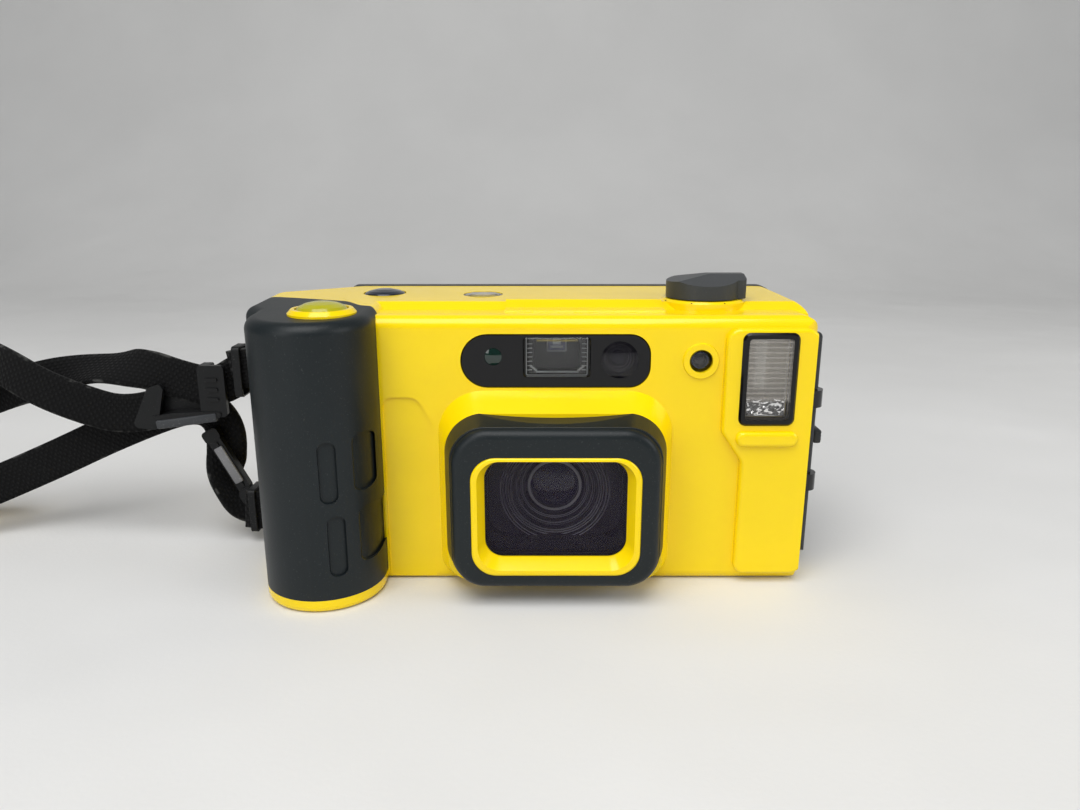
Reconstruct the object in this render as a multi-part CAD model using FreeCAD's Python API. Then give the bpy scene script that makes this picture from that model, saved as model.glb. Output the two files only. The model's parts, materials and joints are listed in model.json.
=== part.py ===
# Waterproof 35 mm film camera: yellow moulded shell, rubber grip and lens hood, full-width rear door.
# Millimetres. X runs along the body (grip at -X), +Y runs from the lens to the rear door, +Z is up.
# The origin is the mouth of the tripod socket in the base, under the lens axis.
import FreeCAD, Part
import math
import os

V = FreeCAD.Vector

# Shell
front_face_y = -25.5      # plain front face
shell_depth = 48.0        # front face to the door seam
right_x = 74.4
left_x = -89.3
strip_z = 80.3            # top of the front strip
strip_depth = 12.5
slope_run = 4.0
rear_top_z = 83.1
top_fall = 0.0263         # the top falls this much per millimetre towards the front
wall = 2.4
seam_y = front_face_y + shell_depth

# Grip
grip_x = -67.4
grip_y = -29.0
grip_r = 17.2
band_z = 3.8              # height of the bare base band
sleeve_wall = 2.0
sleeve_rear_y = -1.0

# Lens port
axis_z = 28.7
hood_out = 18.0           # hood front ahead of the front face
port_half = 23.4
port_low_z = 10.2
port_high_z = 44.9
pane_half = 19.75
pane_low_z = 14.5
pane_high_z = 42.9
pane_thick = 2.0
pane_back = 4.0           # pane front behind the bezel front
barrel_r = 9.0
barrel_travel = 8.0
barrel_len = 17.0
key_half = 1.2            # half the width of the barrel's guide key
key_h = 1.0
guide_rear_y = front_face_y + 17.0
lens_front_y = front_face_y + 4.6
lens_glass_r = 7.0

# Film path
film_y = seam_y - 8.5     # film plane
gate_w = 36.0
gate_h = 24.0
rail_h = 0.4
can_x = 47.5
can_y = film_y - 6.0
can_r = 13.2
can_low_z = 5.2
can_high_z = 53.5
spool_x = -44.0
spool_y = film_y - 7.0
spool_r = 8.2
spool_bay_r = 12.4
sprocket_x = -26.6
sprocket_r = 5.2
tooth_h = 1.1
perf_half = 14.1          # perforation rows from the film's middle
chassis_front_y = -6.0
chassis_top_z = 57.0
chassis_gap = 0.3
chassis_left_x = -62.0
side_wall = 5.2          # right wall and its sealing rim
floor_wall = 3.6
roof_under_z = 77.9
chassis_right_x = right_x - side_wall - chassis_gap
chassis_low_z = floor_wall + 0.2

# Rear door and its side latch
door_thick = 6.0
door_skin = 2.4
door_left_x = -68.2
pin_x = -75.5
pin_y = seam_y + 4.0
pin_r = 1.2
knuckle_r = 2.9
latch_pin_x = 76.75
latch_pin_y = -13.8
latch_half = 1.95
latch_pin_r = 0.8
latch_low_z = 3.7
latch_high_z = 73.4
latch_rear_y = seam_y + 6.1
ear_r = 3.4
ear_spans = ((25.4, 30.6), (51.6, 56.8))
hook_x = 68.4
hook_y = seam_y + 4.4
hook_low_z = 14.5
hook_high_z = 62.5
lock_y = -4.5
lock_z = 41.5
lock_half = 4.0
lock_foot = 4.4
lock_neck = 3.2
lock_travel = 4.0
lock_play = 0.12
plate_stud_x = 16.0
plate_stud_r = 1.6
plate_post_y = film_y + 5.0

# Strap lugs
lug_heights = (10.8, 60.5)
lug_y = 4.0
lug_reach = 6.4

# Strap: flat webbing; each point of a route has the direction of the width there
strap_w = 12.6
strap_t = 1.4
roll_x = -233.5           # middle of the rolled-up length, on the floor past the left end
roll_y = 24.0
roll_inner = 13.0         # innermost half turn
roll_gap = 0.8            # free gap between turns
upper_halves = 4
lower_halves = 5
float_wall = 1.6
float_tip_x = -190.0
float_half = 7.0
roll_low_z = float_wall + 0.1
roll_mid_z = roll_low_z + strap_w / 2.0
roll_step = strap_t + roll_gap
buckle_y = 3.2            # webbing's depth inside the ladder buckle
upper_route = (
    ((-102.6, 3.2, 58.6), (0, 0, 1)),
    ((-93.0, 1.4, 60.5), (0, 0, 1)),
    ((-93.0, 6.6, 60.5), (0, 0, 1)),
    ((-100.5, 6.0, 57.3), (0, 0, 1)),
    ((-108.0, buckle_y, 52.6), (0, 0, 1)),
    ((-119.5, buckle_y, 55.4), (0, 0, 1)),
    ((-131.0, 4.6, 59.0), (0, 0.25, 1)),
    ((-142.5, 7.4, 58.6), (0, 0.9, 0.45)),
    ((-154.5, 10.2, 57.2), (0, 0.8, 0.6)),
    ((-169.0, 12.0, 53.6), (0, 0.3, 1)),
    ((-184.9, 12.2, 49.0), (0, 0, 1)),
    ((-200.0, 12.0, 42.4), (0, 0, 1)),
    ((-211.5, 9.4, 32.0), (0, 0, 1)),
    ((-219.0, 6.2, 20.0), (0, 0, 1)),
    ((-225.6, 3.2, 11.4), (0, 0, 1)),
)
lower_route = (
    ((-217.0, 0.8, 8.6), (0, 0, 1)),
    ((-201.5, 3.6, 12.4), (0, 0, 1)),
    ((-185.5, 8.0, 18.8), (0, 0, 1)),
    ((-165.5, 9.6, 27.3), (0, 0, 1)),
    ((-149.0, 9.8, 35.0), (0, 0, 1)),
    ((-131.0, 9.8, 42.4), (0, 0, 1)),
    ((-121.0, 9.8, 45.4), (0.1, 0, 1)),
    ((-113.8, 9.6, 44.6), (0.45, 0, 0.9)),
    ((-109.0, 9.2, 38.8), (0.9, 0, 0.45)),
    ((-108.8, 8.6, 30.2), (1, 0.25, 0)),
    ((-110.6, 8.0, 21.6), (0.5, 0.85, 0)),
    ((-108.2, 7.2, 13.8), (0, 0.97, 0.25)),
    ((-100.8, 6.8, 11.0), (0, 0.45, 0.9)),
    ((-93.0, 6.6, 10.8), (0, 0, 1)),
    ((-93.0, 1.4, 10.8), (0, 0, 1)),
    ((-102.2, 2.2, 11.6), (0, 0, 1)),
)
tail_route = (
    ((-129.8, buckle_y, 45.4), (0, 0, 1)),
    ((-138.5, 2.8, 43.4), (0, 0, 1)),
    ((-151.0, 1.4, 47.8), (0, 0, 1)),
    ((-163.5, 0.6, 53.6), (0, 0, 1)),
    ((-174.0, 1.6, 60.2), (0, 0.1, 1)),
    ((-182.4, 7.0, 61.4), (0, 0.3, 1)),
    ((-189.6, 3.4, 55.8), (0, 0.2, 1)),
)

# Controls on the top
button_x = -63.8
button_y = -29.5
button_r = 7.0
button_travel = 1.4
collar_r = 9.3
timer_x = -53.4
timer_y = 7.5
timer_r = 6.35
timer_travel = 0.8
counter_x = -22.2
counter_y = 4.5
counter_r = 6.15
dial_x = 44.6
dial_y = -4.5
dial_r = 11.0
dial_seat_z = 82.9
dial_top_z = 88.2
dial_shaft_r = 2.0

collar_seat_z = rear_top_z - (seam_y - button_y) * top_fall - sleeve_wall - 0.3
collar_top_z = 83.2
button_floor_z = 66.0
button_stem_r = 1.6
timer_floor_z = rear_top_z - (seam_y - timer_y) * top_fall - 1.3
timer_stem_r = 2.4
counter_seat_z = rear_top_z - (seam_y - counter_y) * top_fall - 1.8
disc_z = 77.0

# Windows and flash in the face
panel_thick = 1.6
meter_x = 41.0
meter_z = 67.6
flash_x0 = 51.9
flash_x1 = 67.8
flash_z0 = 49.3
flash_z1 = 76.1

# Battery and fastenings
cell_bay_r = 13.0
cell_r = 5.2
cell_len = 44.5
cap_plug_z = 5.0
cell_top_z = cap_plug_z + 0.3 + cell_len
capacitor_low_z = 6.4
contact_thick = 0.6
cap_rim_r = 14.4
cap_rim_z = 2.0
bush_r = 4.2
screw_places = ((-59.2, 10.0), (-59.2, 44.0), (64.9, 10.0), (64.9, 44.0))

# Fits
run_fit = 0.05            # radial play of a pin or shaft in its bore
play = 0.3                # free gap between moving pieces
seat = 0.15               # gap round pieces dropped into a pocket
thread_r = 2.55           # plain wall standing for a quarter-inch tripod thread
bush_len = 7.5
screw_r = 1.0


def top_z(y):
    """Height of the sloping top plane at depth y."""
    return rear_top_z - (seam_y - y) * top_fall


def place(u, v, w, plane):
    """Point from two drawing coordinates and a depth."""
    if plane == "xy":
        return V(u, v, w)
    if plane == "xz":
        return V(u, w, v)
    return V(w, u, v)


def outline(points, plane, depth):
    """Closed wire through (u, v, radius) corners with tangent arcs."""
    count = len(points)
    starts = []
    ends = []
    mids = []
    for i in range(count):
        u, v, r = points[i]
        here = V(u, v, 0)
        back = V(points[i - 1][0], points[i - 1][1], 0).sub(here)
        ahead = V(points[(i + 1) % count][0], points[(i + 1) % count][1], 0).sub(here)
        back.normalize()
        ahead.normalize()
        if r <= 0:
            starts.append(here)
            ends.append(here)
            mids.append(None)
            continue
        half = back.getAngle(ahead) / 2.0
        cut = r / math.tan(half)
        middle = back.add(ahead)
        middle.normalize()
        centre = here.add(middle.multiply(r / math.sin(half)))
        toward = here.sub(centre)
        toward.normalize()
        starts.append(here.add(back.multiply(cut)))
        ends.append(here.add(ahead.multiply(cut)))
        mids.append(centre.add(toward.multiply(r)))
    edges = []
    for i in range(count):
        s = place(starts[i].x, starts[i].y, depth, plane)
        e = place(ends[i].x, ends[i].y, depth, plane)
        if mids[i] is not None:
            m = place(mids[i].x, mids[i].y, depth, plane)
            edges.append(Part.Arc(s, m, e).toShape())
        n = starts[(i + 1) % count]
        n = place(n.x, n.y, depth, plane)
        if e.distanceToPoint(n) > 1e-6:
            edges.append(Part.makeLine(e, n))
    return Part.Wire(edges)


def prism(points, plane, low, high):
    """Solid with the given outline between two depths."""
    face = Part.Face(outline(points, plane, low))
    return face.extrude(place(0, 0, high - low, plane))


def rect(u0, u1, v0, v1, r):
    """Corners of a rectangle with one corner radius."""
    return [(u0, v0, r), (u1, v0, r), (u1, v1, r), (u0, v1, r)]


def box(x0, x1, y0, y1, z0, z1):
    """Plain block between limits."""
    return Part.makeBox(x1 - x0, y1 - y0, z1 - z0, V(x0, y0, z0))


def rod_z(x, y, r, z0, z1):
    """Upright cylinder."""
    return Part.makeCylinder(r, z1 - z0, V(x, y, z0), V(0, 0, 1))


def rod_y(x, z, r, y0, y1):
    """Cylinder along the optical direction."""
    return Part.makeCylinder(r, y1 - y0, V(x, y0, z), V(0, 1, 0))


def rod_x(y, z, r, x0, x1):
    """Cylinder along the body."""
    return Part.makeCylinder(r, x1 - x0, V(x0, y, z), V(1, 0, 0))


def turned_y(profile, x, z):
    """Solid of revolution about a line along Y, from (radius, y) points."""
    points = [V(x + r, y, z) for r, y in profile]
    face = Part.Face(Part.makePolygon(points + points[:1]))
    return face.revolve(V(x, 0, z), V(0, 1, 0), 360)


def turned_z(profile, x, y):
    """Solid of revolution about an upright line, from (radius, z) points."""
    points = [V(x + r, y, z) for r, z in profile]
    face = Part.Face(Part.makePolygon(points + points[:1]))
    return face.revolve(V(x, y, 0), V(0, 0, 1), 360)


def soften(shape, size, test):
    """Fillet the edges that pass the test."""
    edges = [e for e in shape.Edges if test(e)]
    return shape.makeFillet(size, edges)


def bevel(shape, size, test):
    """Chamfer the edges that pass the test."""
    edges = [e for e in shape.Edges if test(e)]
    return shape.makeChamfer(size, edges)


def at_y(y, tol=0.01):
    """Test for edges that lie at one depth."""
    return lambda e: all(abs(v.Y - y) < tol for v in e.Vertexes) and abs(e.BoundBox.YLength) < tol


def at_z(z, tol=0.01):
    """Test for edges that lie at one height."""
    return lambda e: all(abs(v.Z - z) < tol for v in e.Vertexes) and abs(e.BoundBox.ZLength) < tol


def blend(low_points, high_points, plane, low, high):
    """Ruled solid between two outlines."""
    wires = [outline(low_points, plane, low), outline(high_points, plane, high)]
    return Part.makeLoft(wires, True, True)


# Outer form of the shell


def under_top(x0, x1, drop=0.0):
    """Block below the sloping top plane."""
    y0 = front_face_y - 30.0
    y1 = seam_y + 1.0
    corners = [(y0, -1, 0), (y1, -1, 0), (y1, top_z(y1) - drop, 0), (y0, top_z(y0) - drop, 0)]
    return prism(corners, "yz", x0, x1)


def main_block():
    """Body behind the front face: a low front part and a high rear part, edges rounded."""
    f = front_face_y
    plan = prism([(-60, f, 0), (right_x, f, 4.5), (right_x, seam_y, 0), (-60, seam_y, 0)], "xy", -1, 90)
    side = [(f, 0, 3.0), (seam_y, 0, 0), (seam_y, strip_z, 0), (f, strip_z, 3.5)]
    ends = [(-61, 0, 0), (right_x, 0, 5.0), (right_x, strip_z, 5.5), (-61, strip_z, 0)]
    low = prism(side, "yz", -60, right_x).common(prism(ends, "xz", f, seam_y)).common(plan)
    s0 = f + strip_depth
    s1 = s0 + slope_run
    rise = [(s0 - 1, strip_z - 12, 0), (seam_y, strip_z - 12, 0), (seam_y, rear_top_z, 0)]
    rise += [(s1, top_z(s1), 1.4), (s0, strip_z, 0), (s0 - 1, strip_z - 1, 0)]
    ends = [(-61, 60, 0), (right_x, 60, 0), (right_x, rear_top_z, 6.5), (-61, rear_top_z, 0)]
    high = prism(rise, "yz", -60, right_x).common(prism(ends, "xz", f, seam_y)).common(plan)
    return low.fuse(high).removeSplitter()


def grip_plan(inset=0.0):
    """Plan of the grip, its left flank and the bevelled rear corner."""
    i = inset
    r = grip_r - i
    x1 = grip_x + grip_r - i
    x0 = grip_x - grip_r + i
    y0 = grip_y - grip_r + i
    return [
        (x1, seam_y, 0),
        (x1, y0, r),
        (x0, y0, r),
        (x0, -23.5 + 0.5 * i, 3.5 + i),
        (left_x + i, -17.5 + 0.3 * i, 4.0),
        (left_x + i, 11.0 - 0.5 * i, 5.0 - i),
        (-69.5 + 0.5 * i, seam_y, 0),
    ]


def grip_block(inset=0.0, low=0.0, drop=0.0):
    """Grip column up to the top plane."""
    column = prism(grip_plan(inset), "xy", low, rear_top_z + 1)
    return column.common(under_top(left_x - 1, 0, drop))


def is_grip_top(e):
    """Edges of the sloping top that follow the outside of the grip."""
    if any(abs(v.Z - top_z(v.Y)) > 0.02 for v in e.Vertexes):
        return False
    c = e.BoundBox.Center
    if abs(c.z - top_z(c.y)) > 0.6:
        return False
    if e.BoundBox.XLength < 0.01 and c.x > grip_x + grip_r - 0.1 and c.y > grip_y + 1:
        return False
    return abs(c.y - seam_y) > 0.1


def grip_outer():
    """Grip with rolled top and bottom edges."""
    block = soften(grip_block(), 3.4, is_grip_top)
    return soften(block, 1.8, lambda e: at_z(0)(e) and abs(e.BoundBox.Center.y - seam_y) > 0.1
                  and not (e.BoundBox.XLength < 0.01 and e.BoundBox.Center.x > grip_x + grip_r - 0.1))


def flash_column():
    """Raised column that carries the flash, down the right of the face."""
    f = front_face_y - 2.5
    face = [(53.5, 3.0, 3.0), (right_x, 3.0, 4.5), (right_x, 77.2, 5.0), (47.6, 77.2, 4.0)]
    face += [(47.6, 47.0, 3.0), (53.5, 38.4, 3.0)]
    column = soften(prism(face, "xz", f, -10), 1.1, at_y(f))
    plan = [(40, f - 1, 0), (right_x - 1.8, f - 1, 0), (right_x - 1.6, f, 3.0), (right_x, -18, 0), (40, -18, 0)]
    return column.common(prism(plan, "xy", 0, 90))


def port_boss():
    """Raised surround that the hood stands on."""
    f = front_face_y
    base = [(-33.8, 1.8, 6), (33.8, 1.8, 6), (33.8, 59.0, 13), (-33.8, 59.0, 13)]
    nose = [(-31.0, 3.6, 6), (31.0, 3.6, 6), (31.0, 54.1, 11), (-31.0, 54.1, 11)]
    return blend(nose, base, "xz", f - 7, f).fuse(prism(base, "xz", f, f + wall))


def ridge():
    """Rounded bar under the flash."""
    f = front_face_y - 2.5
    bar = prism(rect(51.4, 69.2, 43.2, 47.7, 2.2), "xz", f - 1.6, f + 1)
    return soften(bar, 1.2, at_y(f - 1.6))


def shell_outside():
    """Whole outer form before hollowing."""
    body = main_block().fuse([grip_outer(), flash_column(), port_boss(), ridge()])
    f = front_face_y
    tube = prism(rect(-port_half, port_half, port_low_z, port_high_z, 7.0), "xz", f - 14.0, f + 1)
    seat_ring = turned_z([(0, 78), (dial_r + 1.6, 78), (dial_r + 1.6, 82.2), (dial_r + 0.9, dial_seat_z),
                          (0, dial_seat_z)], dial_x, dial_y)
    cell = turned_y([(0, f - 0.7), (4.9, f - 0.7), (5.2, f), (5.2, f + 1), (0, f + 1)], 41.0, 67.6)
    pad = [(f + 6.5, 79.5, 0), (f + 20, 79.5, 0), (f + 20, 82.4, 0), (f + 16.4, 82.9, 0.8)]
    pad += [(f + 12.4, 80.9, 1.0), (f + 7.1, 80.9, 0.5)]
    pad = prism(pad, "yz", -14.5, 31.5)
    return body.fuse([tube, seat_ring, cell, pad]).removeSplitter()


def hinge_knuckles(spans, side):
    """Barrels on the door pin, joined to the shell or to the door."""
    shapes = []
    for z0, z1 in spans:
        barrel = rod_z(pin_x, pin_y, knuckle_r, z0, z1)
        if side == "shell":
            web = [(pin_x - 2.5, pin_y - 1.4, 0), (pin_x - 5.2, 17.0, 0), (-70.6, 20.5, 0), (pin_x + 2.5, pin_y, 0)]
        else:
            web = [(pin_x, pin_y - 2.4, 0), (door_left_x + 3, pin_y - 2.4, 0), (door_left_x + 3, pin_y + 1.9, 0),
                   (pin_x, pin_y + knuckle_r, 0)]
        shapes.append(barrel.fuse(prism(web, "xy", z0, z1)))
    return shapes


shell_knuckles = ((6.0, 13.0), (25.4, 55.6), (68.0, 75.0))
door_knuckles = ((13.4, 25.0), (56.0, 67.6))


def shell_hollow():
    """Room inside the shell, open to the rear, and the side room beside the battery tube."""
    main = prism(rect(chassis_left_x - chassis_gap, right_x - side_wall, floor_wall, roof_under_z, 2.0), "xz",
                 front_face_y + wall, seam_y + 1)
    side = box(left_x + 2.9, chassis_left_x + 1, -12.0, 9.0, 5.0, 77.0)
    return main.fuse(side)


def battery_tube():
    """Round wall of the battery compartment inside the grip."""
    return rod_z(grip_x, grip_y, cell_bay_r + 1.5, 1.0, cell_top_z + contact_thick + 1.5)


def screw_posts():
    """Posts on the front wall that the film chassis is screwed to."""
    posts = [rod_y(x, z, 2.6, front_face_y + 1.0, chassis_front_y) for x, z in screw_places]
    return posts[0].fuse(posts[1:])


def face_holes(body):
    """Openings in the front wall for the port, the window panel, the meter and the flash."""
    f = front_face_y
    body = body.cut(prism(rect(-pane_half, pane_half, pane_low_z, pane_high_z, 5.5), "xz", f - 20, f + wall + 1))
    pane = rect(-pane_half - 1.4, pane_half + 1.4, pane_low_z - 1.4, pane_high_z + 1.2, 6.0)
    body = body.cut(prism(pane, "xz", f - 14.5, f - hood_out + pane_back + pane_thick + 1.0))
    body = body.cut(prism(panel_outline(0), "xz", f - 2, f + panel_thick))
    body = body.cut(box(-7.5, 8.5, f - 1, f + 6, 63.8, 73.8))
    body = body.cut(rod_y(18.1, 67.9, 4.2, f - 1, f + 6))
    body = body.cut(rod_y(meter_x, meter_z, 3.3, f - 2, f + 1.6))
    body = body.cut(rod_y(meter_x, meter_z, 2.4, f - 2, f + 6))
    body = body.cut(prism(rect(flash_x0, flash_x1, flash_z0, flash_z1, 2.2), "xz", f - 6, f + 1.0))
    body = body.cut(prism(rect(flash_x0 + 1.8, flash_x1 - 1.8, flash_z0 + 1.8, flash_z1 - 1.8, 1.0), "xz", f - 1, f + 6))
    recess = [(-49.6, -1, 0), (-35.6, -1, 0), (-35.6, 49.0, 6), (-39.5, 57.0, 4), (-49.6, 57.0, 3)]
    return body.cut(prism(recess, "xz", f - 1, f + 0.6))


def top_holes(body):
    """Seats and bores in the top for the controls."""
    body = body.cut(rod_z(button_x, button_y, collar_r, collar_seat_z, 95))
    body = body.cut(rod_z(button_x, button_y, collar_r - 1.2, button_floor_z, 95))
    body = body.cut(rod_z(button_x, button_y, button_stem_r + run_fit, cell_top_z + 4.0, 95))
    body = body.cut(rod_z(timer_x, timer_y, timer_r + play, timer_floor_z, 95))
    body = body.cut(rod_z(timer_x, timer_y, timer_stem_r + run_fit, 70, 95))
    body = body.cut(rod_z(counter_x, counter_y, counter_r, counter_seat_z, 95))
    body = body.cut(rod_z(counter_x, counter_y, counter_r - 1.0, 70, 95))
    return body.cut(rod_z(dial_x, dial_y, dial_shaft_r + run_fit, 70, 95))


def base_holes(body):
    """Tripod boss and battery mouth in the base."""
    body = body.fuse(rod_z(0, 0, bush_r + 1.8, 0, bush_len + 1.6))
    body = body.cut(rod_z(0, 0, bush_r, -1, bush_len))
    body = body.cut(rod_z(grip_x, grip_y, cap_rim_r + seat, -1, cap_rim_z))
    return body.cut(rod_z(grip_x, grip_y, cell_bay_r, -1, cell_top_z + contact_thick))


def hinge_and_ears(body):
    """Knuckles for the door pin and ears for the latch pin."""
    for shape in hinge_knuckles(shell_knuckles, "shell"):
        body = body.fuse(shape)
    body = body.cut(rod_z(pin_x, pin_y, pin_r, -1, 95))
    for z0, z1 in ear_spans:
        ear = rod_z(latch_pin_x, latch_pin_y, ear_r, z0, z1)
        web = box(right_x - 1.5, latch_pin_x, latch_pin_y - 0.8 * ear_r, latch_pin_y + 0.8 * ear_r, z0, z1)
        body = body.fuse(ear.fuse(web))
    return body.cut(rod_z(latch_pin_x, latch_pin_y, latch_pin_r, latch_low_z, latch_high_z))


def front_shell():
    """Yellow moulded shell with its pockets, bosses and holes."""
    body = shell_outside().cut(shell_hollow())
    body = body.fuse([battery_tube(), screw_posts()])
    body = face_holes(body)
    body = body.cut(grip_sleeve(False))
    body = base_holes(top_holes(body))
    body = hinge_and_ears(body)
    for x, z in screw_places:
        body = body.cut(rod_y(x, z, screw_r, chassis_front_y - 8.0, chassis_front_y + 1))
    return body.removeSplitter()


def panel_outline(inset):
    """Panel corners: the left end is a full round, the right end has softer corners."""
    i = inset
    return [(-26.9 + i, 59.8 + i, 7.7 - i), (26.9 - i, 59.8 + i, 6.0 - i),
            (26.9 - i, 75.3 - i, 6.0 - i), (-26.9 + i, 75.3 - i, 7.7 - i)]


# Grip, hood and port


def sleeve_zone():
    """Region of the body that the rubber sleeve covers, seen from above."""
    edge = [(grip_x - 30, grip_y - 30, 0), (grip_x + 30, grip_y - 30, 0), (grip_x + 30, front_face_y, 0),
            (-50.4, front_face_y + 0.01, 0), (-49.6, -22.0, 0), (-52.5, -17.8, 2), (-56.5, -16.0, 4),
            (-61.5, -9.0, 7), (-72.0, -5.0, 12), (-84.0, sleeve_rear_y, 6), (grip_x - 30, sleeve_rear_y, 0)]
    return prism(edge, "xy", band_z, 95)


def grip_sleeve(detailed=True):
    """Rubber sleeve wrapped round the grip, with four finger recesses."""
    core = grip_block(sleeve_wall, -1, sleeve_wall)
    flank = grip_x + grip_r
    inside = box(flank - sleeve_wall - 0.1, flank + 0.1, front_face_y + 0.8, -10.0, -1, strip_z - sleeve_wall - play)
    sleeve = grip_outer().cut(core).cut(inside).common(sleeve_zone())
    if not detailed:
        return sleeve
    for x, z0, z1 in ((-61.2, 32.2, 49.6), (-52.9, 34.0, 50.6), (-60.0, 10.6, 28.4), (-52.3, 12.8, 29.4)):
        tool = prism(rect(x - 2.3, x + 2.3, z0, z1, 2.2), "xz", -60, -10)
        y = grip_y - math.sqrt(max(0.0, grip_r ** 2 - (x - grip_x) ** 2))
        shift = grip_outer().copy()
        shift = shift.cut(grip_block(0.8, -1, 0.8))
        sleeve = sleeve.cut(tool.common(shift))
    sleeve = sleeve.cut(rod_z(button_x, button_y, collar_r, 70, 90))
    return sleeve


def lens_hood():
    """Rubber bumper round the port."""
    f = front_face_y
    back = [(-31.3, 4.6, 10), (31.3, 4.6, 10), (31.3, 54.3, 11.5), (-31.3, 54.3, 11.5)]
    front = [(-28.2, 6.6, 9), (28.2, 6.6, 9), (28.2, 52.0, 10), (-28.2, 52.0, 10)]
    hood = soften(blend(front, back, "xz", f - hood_out, f - 7.0), 2.6, at_y(f - hood_out))
    dip = Part.makeCylinder(190.0, 40.0, V(0, f - 30, axis_z + 24.3 + 190.0), V(0, 1, 0))
    hood = hood.cut(dip)
    return hood.cut(prism(rect(-port_half, port_half, port_low_z, port_high_z, 7.0), "xz", f - 40, f + 40))


def port_bezel():
    """Yellow frame that holds the pane, its inner sides bevelled."""
    f = front_face_y - hood_out
    frame = prism(rect(-port_half, port_half, port_low_z, port_high_z, 7.0), "xz", f - 0.4, f + pane_back)
    frame = soften(frame, 0.9, at_y(f - 0.4))
    front = [(-21.6, 12.0, 6.5), (21.6, 12.0, 6.5), (21.6, 43.9, 6.2), (-21.6, 43.9, 6.2)]
    rear = [(-pane_half, pane_low_z, 5.2), (pane_half, pane_low_z, 5.2),
            (pane_half, pane_high_z, 5.2), (-pane_half, pane_high_z, 5.2)]
    return frame.cut(blend(front, rear, "xz", f - 0.41, f + pane_back - 0.6)).cut(
        prism(rear, "xz", f + pane_back - 0.7, f + pane_back + 1))


def port_pane():
    """Flat window in front of the lens."""
    y = front_face_y - hood_out + pane_back
    corners = rect(-pane_half - 1.3, pane_half + 1.3, pane_low_z - 1.3, pane_high_z + 1.1, 5.9)
    return prism(corners, "xz", y, y + pane_thick)


def port_seal():
    """Rubber gasket behind the pane."""
    y = front_face_y - hood_out + pane_back + pane_thick
    outer = prism(rect(-pane_half - 1.2, pane_half + 1.2, pane_low_z - 1.2, pane_high_z + 1.0, 5.8), "xz", y, y + 1.0)
    return outer.cut(prism(rect(-pane_half - 0.2, pane_half + 0.2, pane_low_z - 0.2, pane_high_z + 0.1, 5.0),
                           "xz", y - 1, y + 2))


def lens_baffle():
    """Stepped light shield in front of the lens; its tube guides the barrel's key in a slot."""
    y = front_face_y
    steps = [(15.0, y + 0.4), (15.0, y + 1.4), (12.4, y + 1.4), (12.4, y + 2.8), (10.6, y + 2.8), (10.6, y + 4.2),
             (barrel_r + play, y + 4.2), (barrel_r + play, guide_rear_y), (barrel_r + 1.5, guide_rear_y),
             (barrel_r + 1.5, y + 5.4), (12.0, y + 5.4), (12.0, y + 4.0), (20.0, y + 4.0), (20.0, y + 0.4)]
    shield = turned_y(steps, 0, axis_z)
    window = prism(rect(-pane_half + 0.2, pane_half - 0.2, pane_low_z + 0.2, pane_high_z - 0.2, 5.0), "xz",
                   y - 3, y + wall)
    flange = prism(rect(-23.0, 23.0, 11.0, 46.4, 4.0), "xz", y + wall, y + wall + 1.6)
    flange = flange.cut(rod_y(0, axis_z, 11.9, y, y + 8))
    behind = shield.common(prism(rect(-23.0, 23.0, 11.0, 46.4, 4.0), "xz", y + wall, y + 20))
    half = key_half + run_fit
    slot = box(-half, half, y + 6.8, guide_rear_y + 1, axis_z + barrel_r - 0.6, axis_z + barrel_r + 2.0)
    return shield.common(window).fuse([behind, flange]).cut(slot).removeSplitter()


def lens_barrel():
    """Sliding barrel: a tube with a front lip, ribs inside and a guide key."""
    y = lens_front_y
    r = barrel_r
    tube = turned_y([(lens_glass_r + 0.1, y), (8.3, y), (r, y + 0.6), (r, y + barrel_len), (6.2, y + barrel_len),
                     (6.2, y + 13.4), (7.0, y + 13.4), (7.0, y + 6.4), (6.0, y + 6.4), (6.0, y + 5.2),
                     (lens_glass_r + 0.1, y + 3.6)], 0, axis_z)
    key = box(-key_half, key_half, y + 11.0, y + barrel_len, axis_z + r - 0.5, axis_z + r + key_h)
    return tube.fuse(key).removeSplitter()


def lens_front_glass():
    """Front element with a domed face."""
    y = lens_front_y + 0.4
    disc = rod_y(0, axis_z, lens_glass_r + 0.1, y, y + 3.0)
    dome = Part.makeSphere(22.0, V(0, y + 22.0, axis_z))
    return disc.common(dome)


def lens_rear_glass():
    """Rear element."""
    y = lens_front_y + 13.6
    disc = rod_y(0, axis_z, 6.2, y, y + 2.6)
    dome = Part.makeSphere(20.0, V(0, y + 2.6 - 20.0, axis_z))
    return disc.common(dome)


def shutter_leaves():
    """Two overlapping leaves that close the middle of the barrel."""
    y = lens_front_y + 8.6
    ring = rod_y(0, axis_z, 7.0, y, y + 1.8).cut(rod_y(0, axis_z, 4.2, y - 1, y + 3))
    upper = rod_y(0, axis_z, 6.0, y + 0.5, y + 0.8).cut(box(-9, 9, y - 1, y + 3, axis_z - 9, axis_z - 0.8))
    lower = rod_y(0, axis_z, 6.0, y + 0.8, y + 1.1).cut(box(-9, 9, y - 1, y + 3, axis_z + 0.8, axis_z + 9))
    return ring.fuse([upper, lower]).removeSplitter()


# Windows, lamps and flash in the face


def window_panel():
    """Dark panel with openings for the viewfinder, the focus lens and the lamp."""
    f = front_face_y
    plate = prism(panel_outline(0), "xz", f + 0.1, f + panel_thick)
    plate = bevel(plate, 0.4, at_y(f + 0.1))
    plate = plate.cut(prism(rect(-9.2, 9.9, 62.9, 74.3, 1.0), "xz", f - 1, f + 3))
    plate = plate.cut(rod_y(18.1, 67.9, 5.3, f - 1, f + 3))
    return plate.cut(rod_y(-17.6, 68.8, 2.5, f - 1, f + 3))


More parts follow.
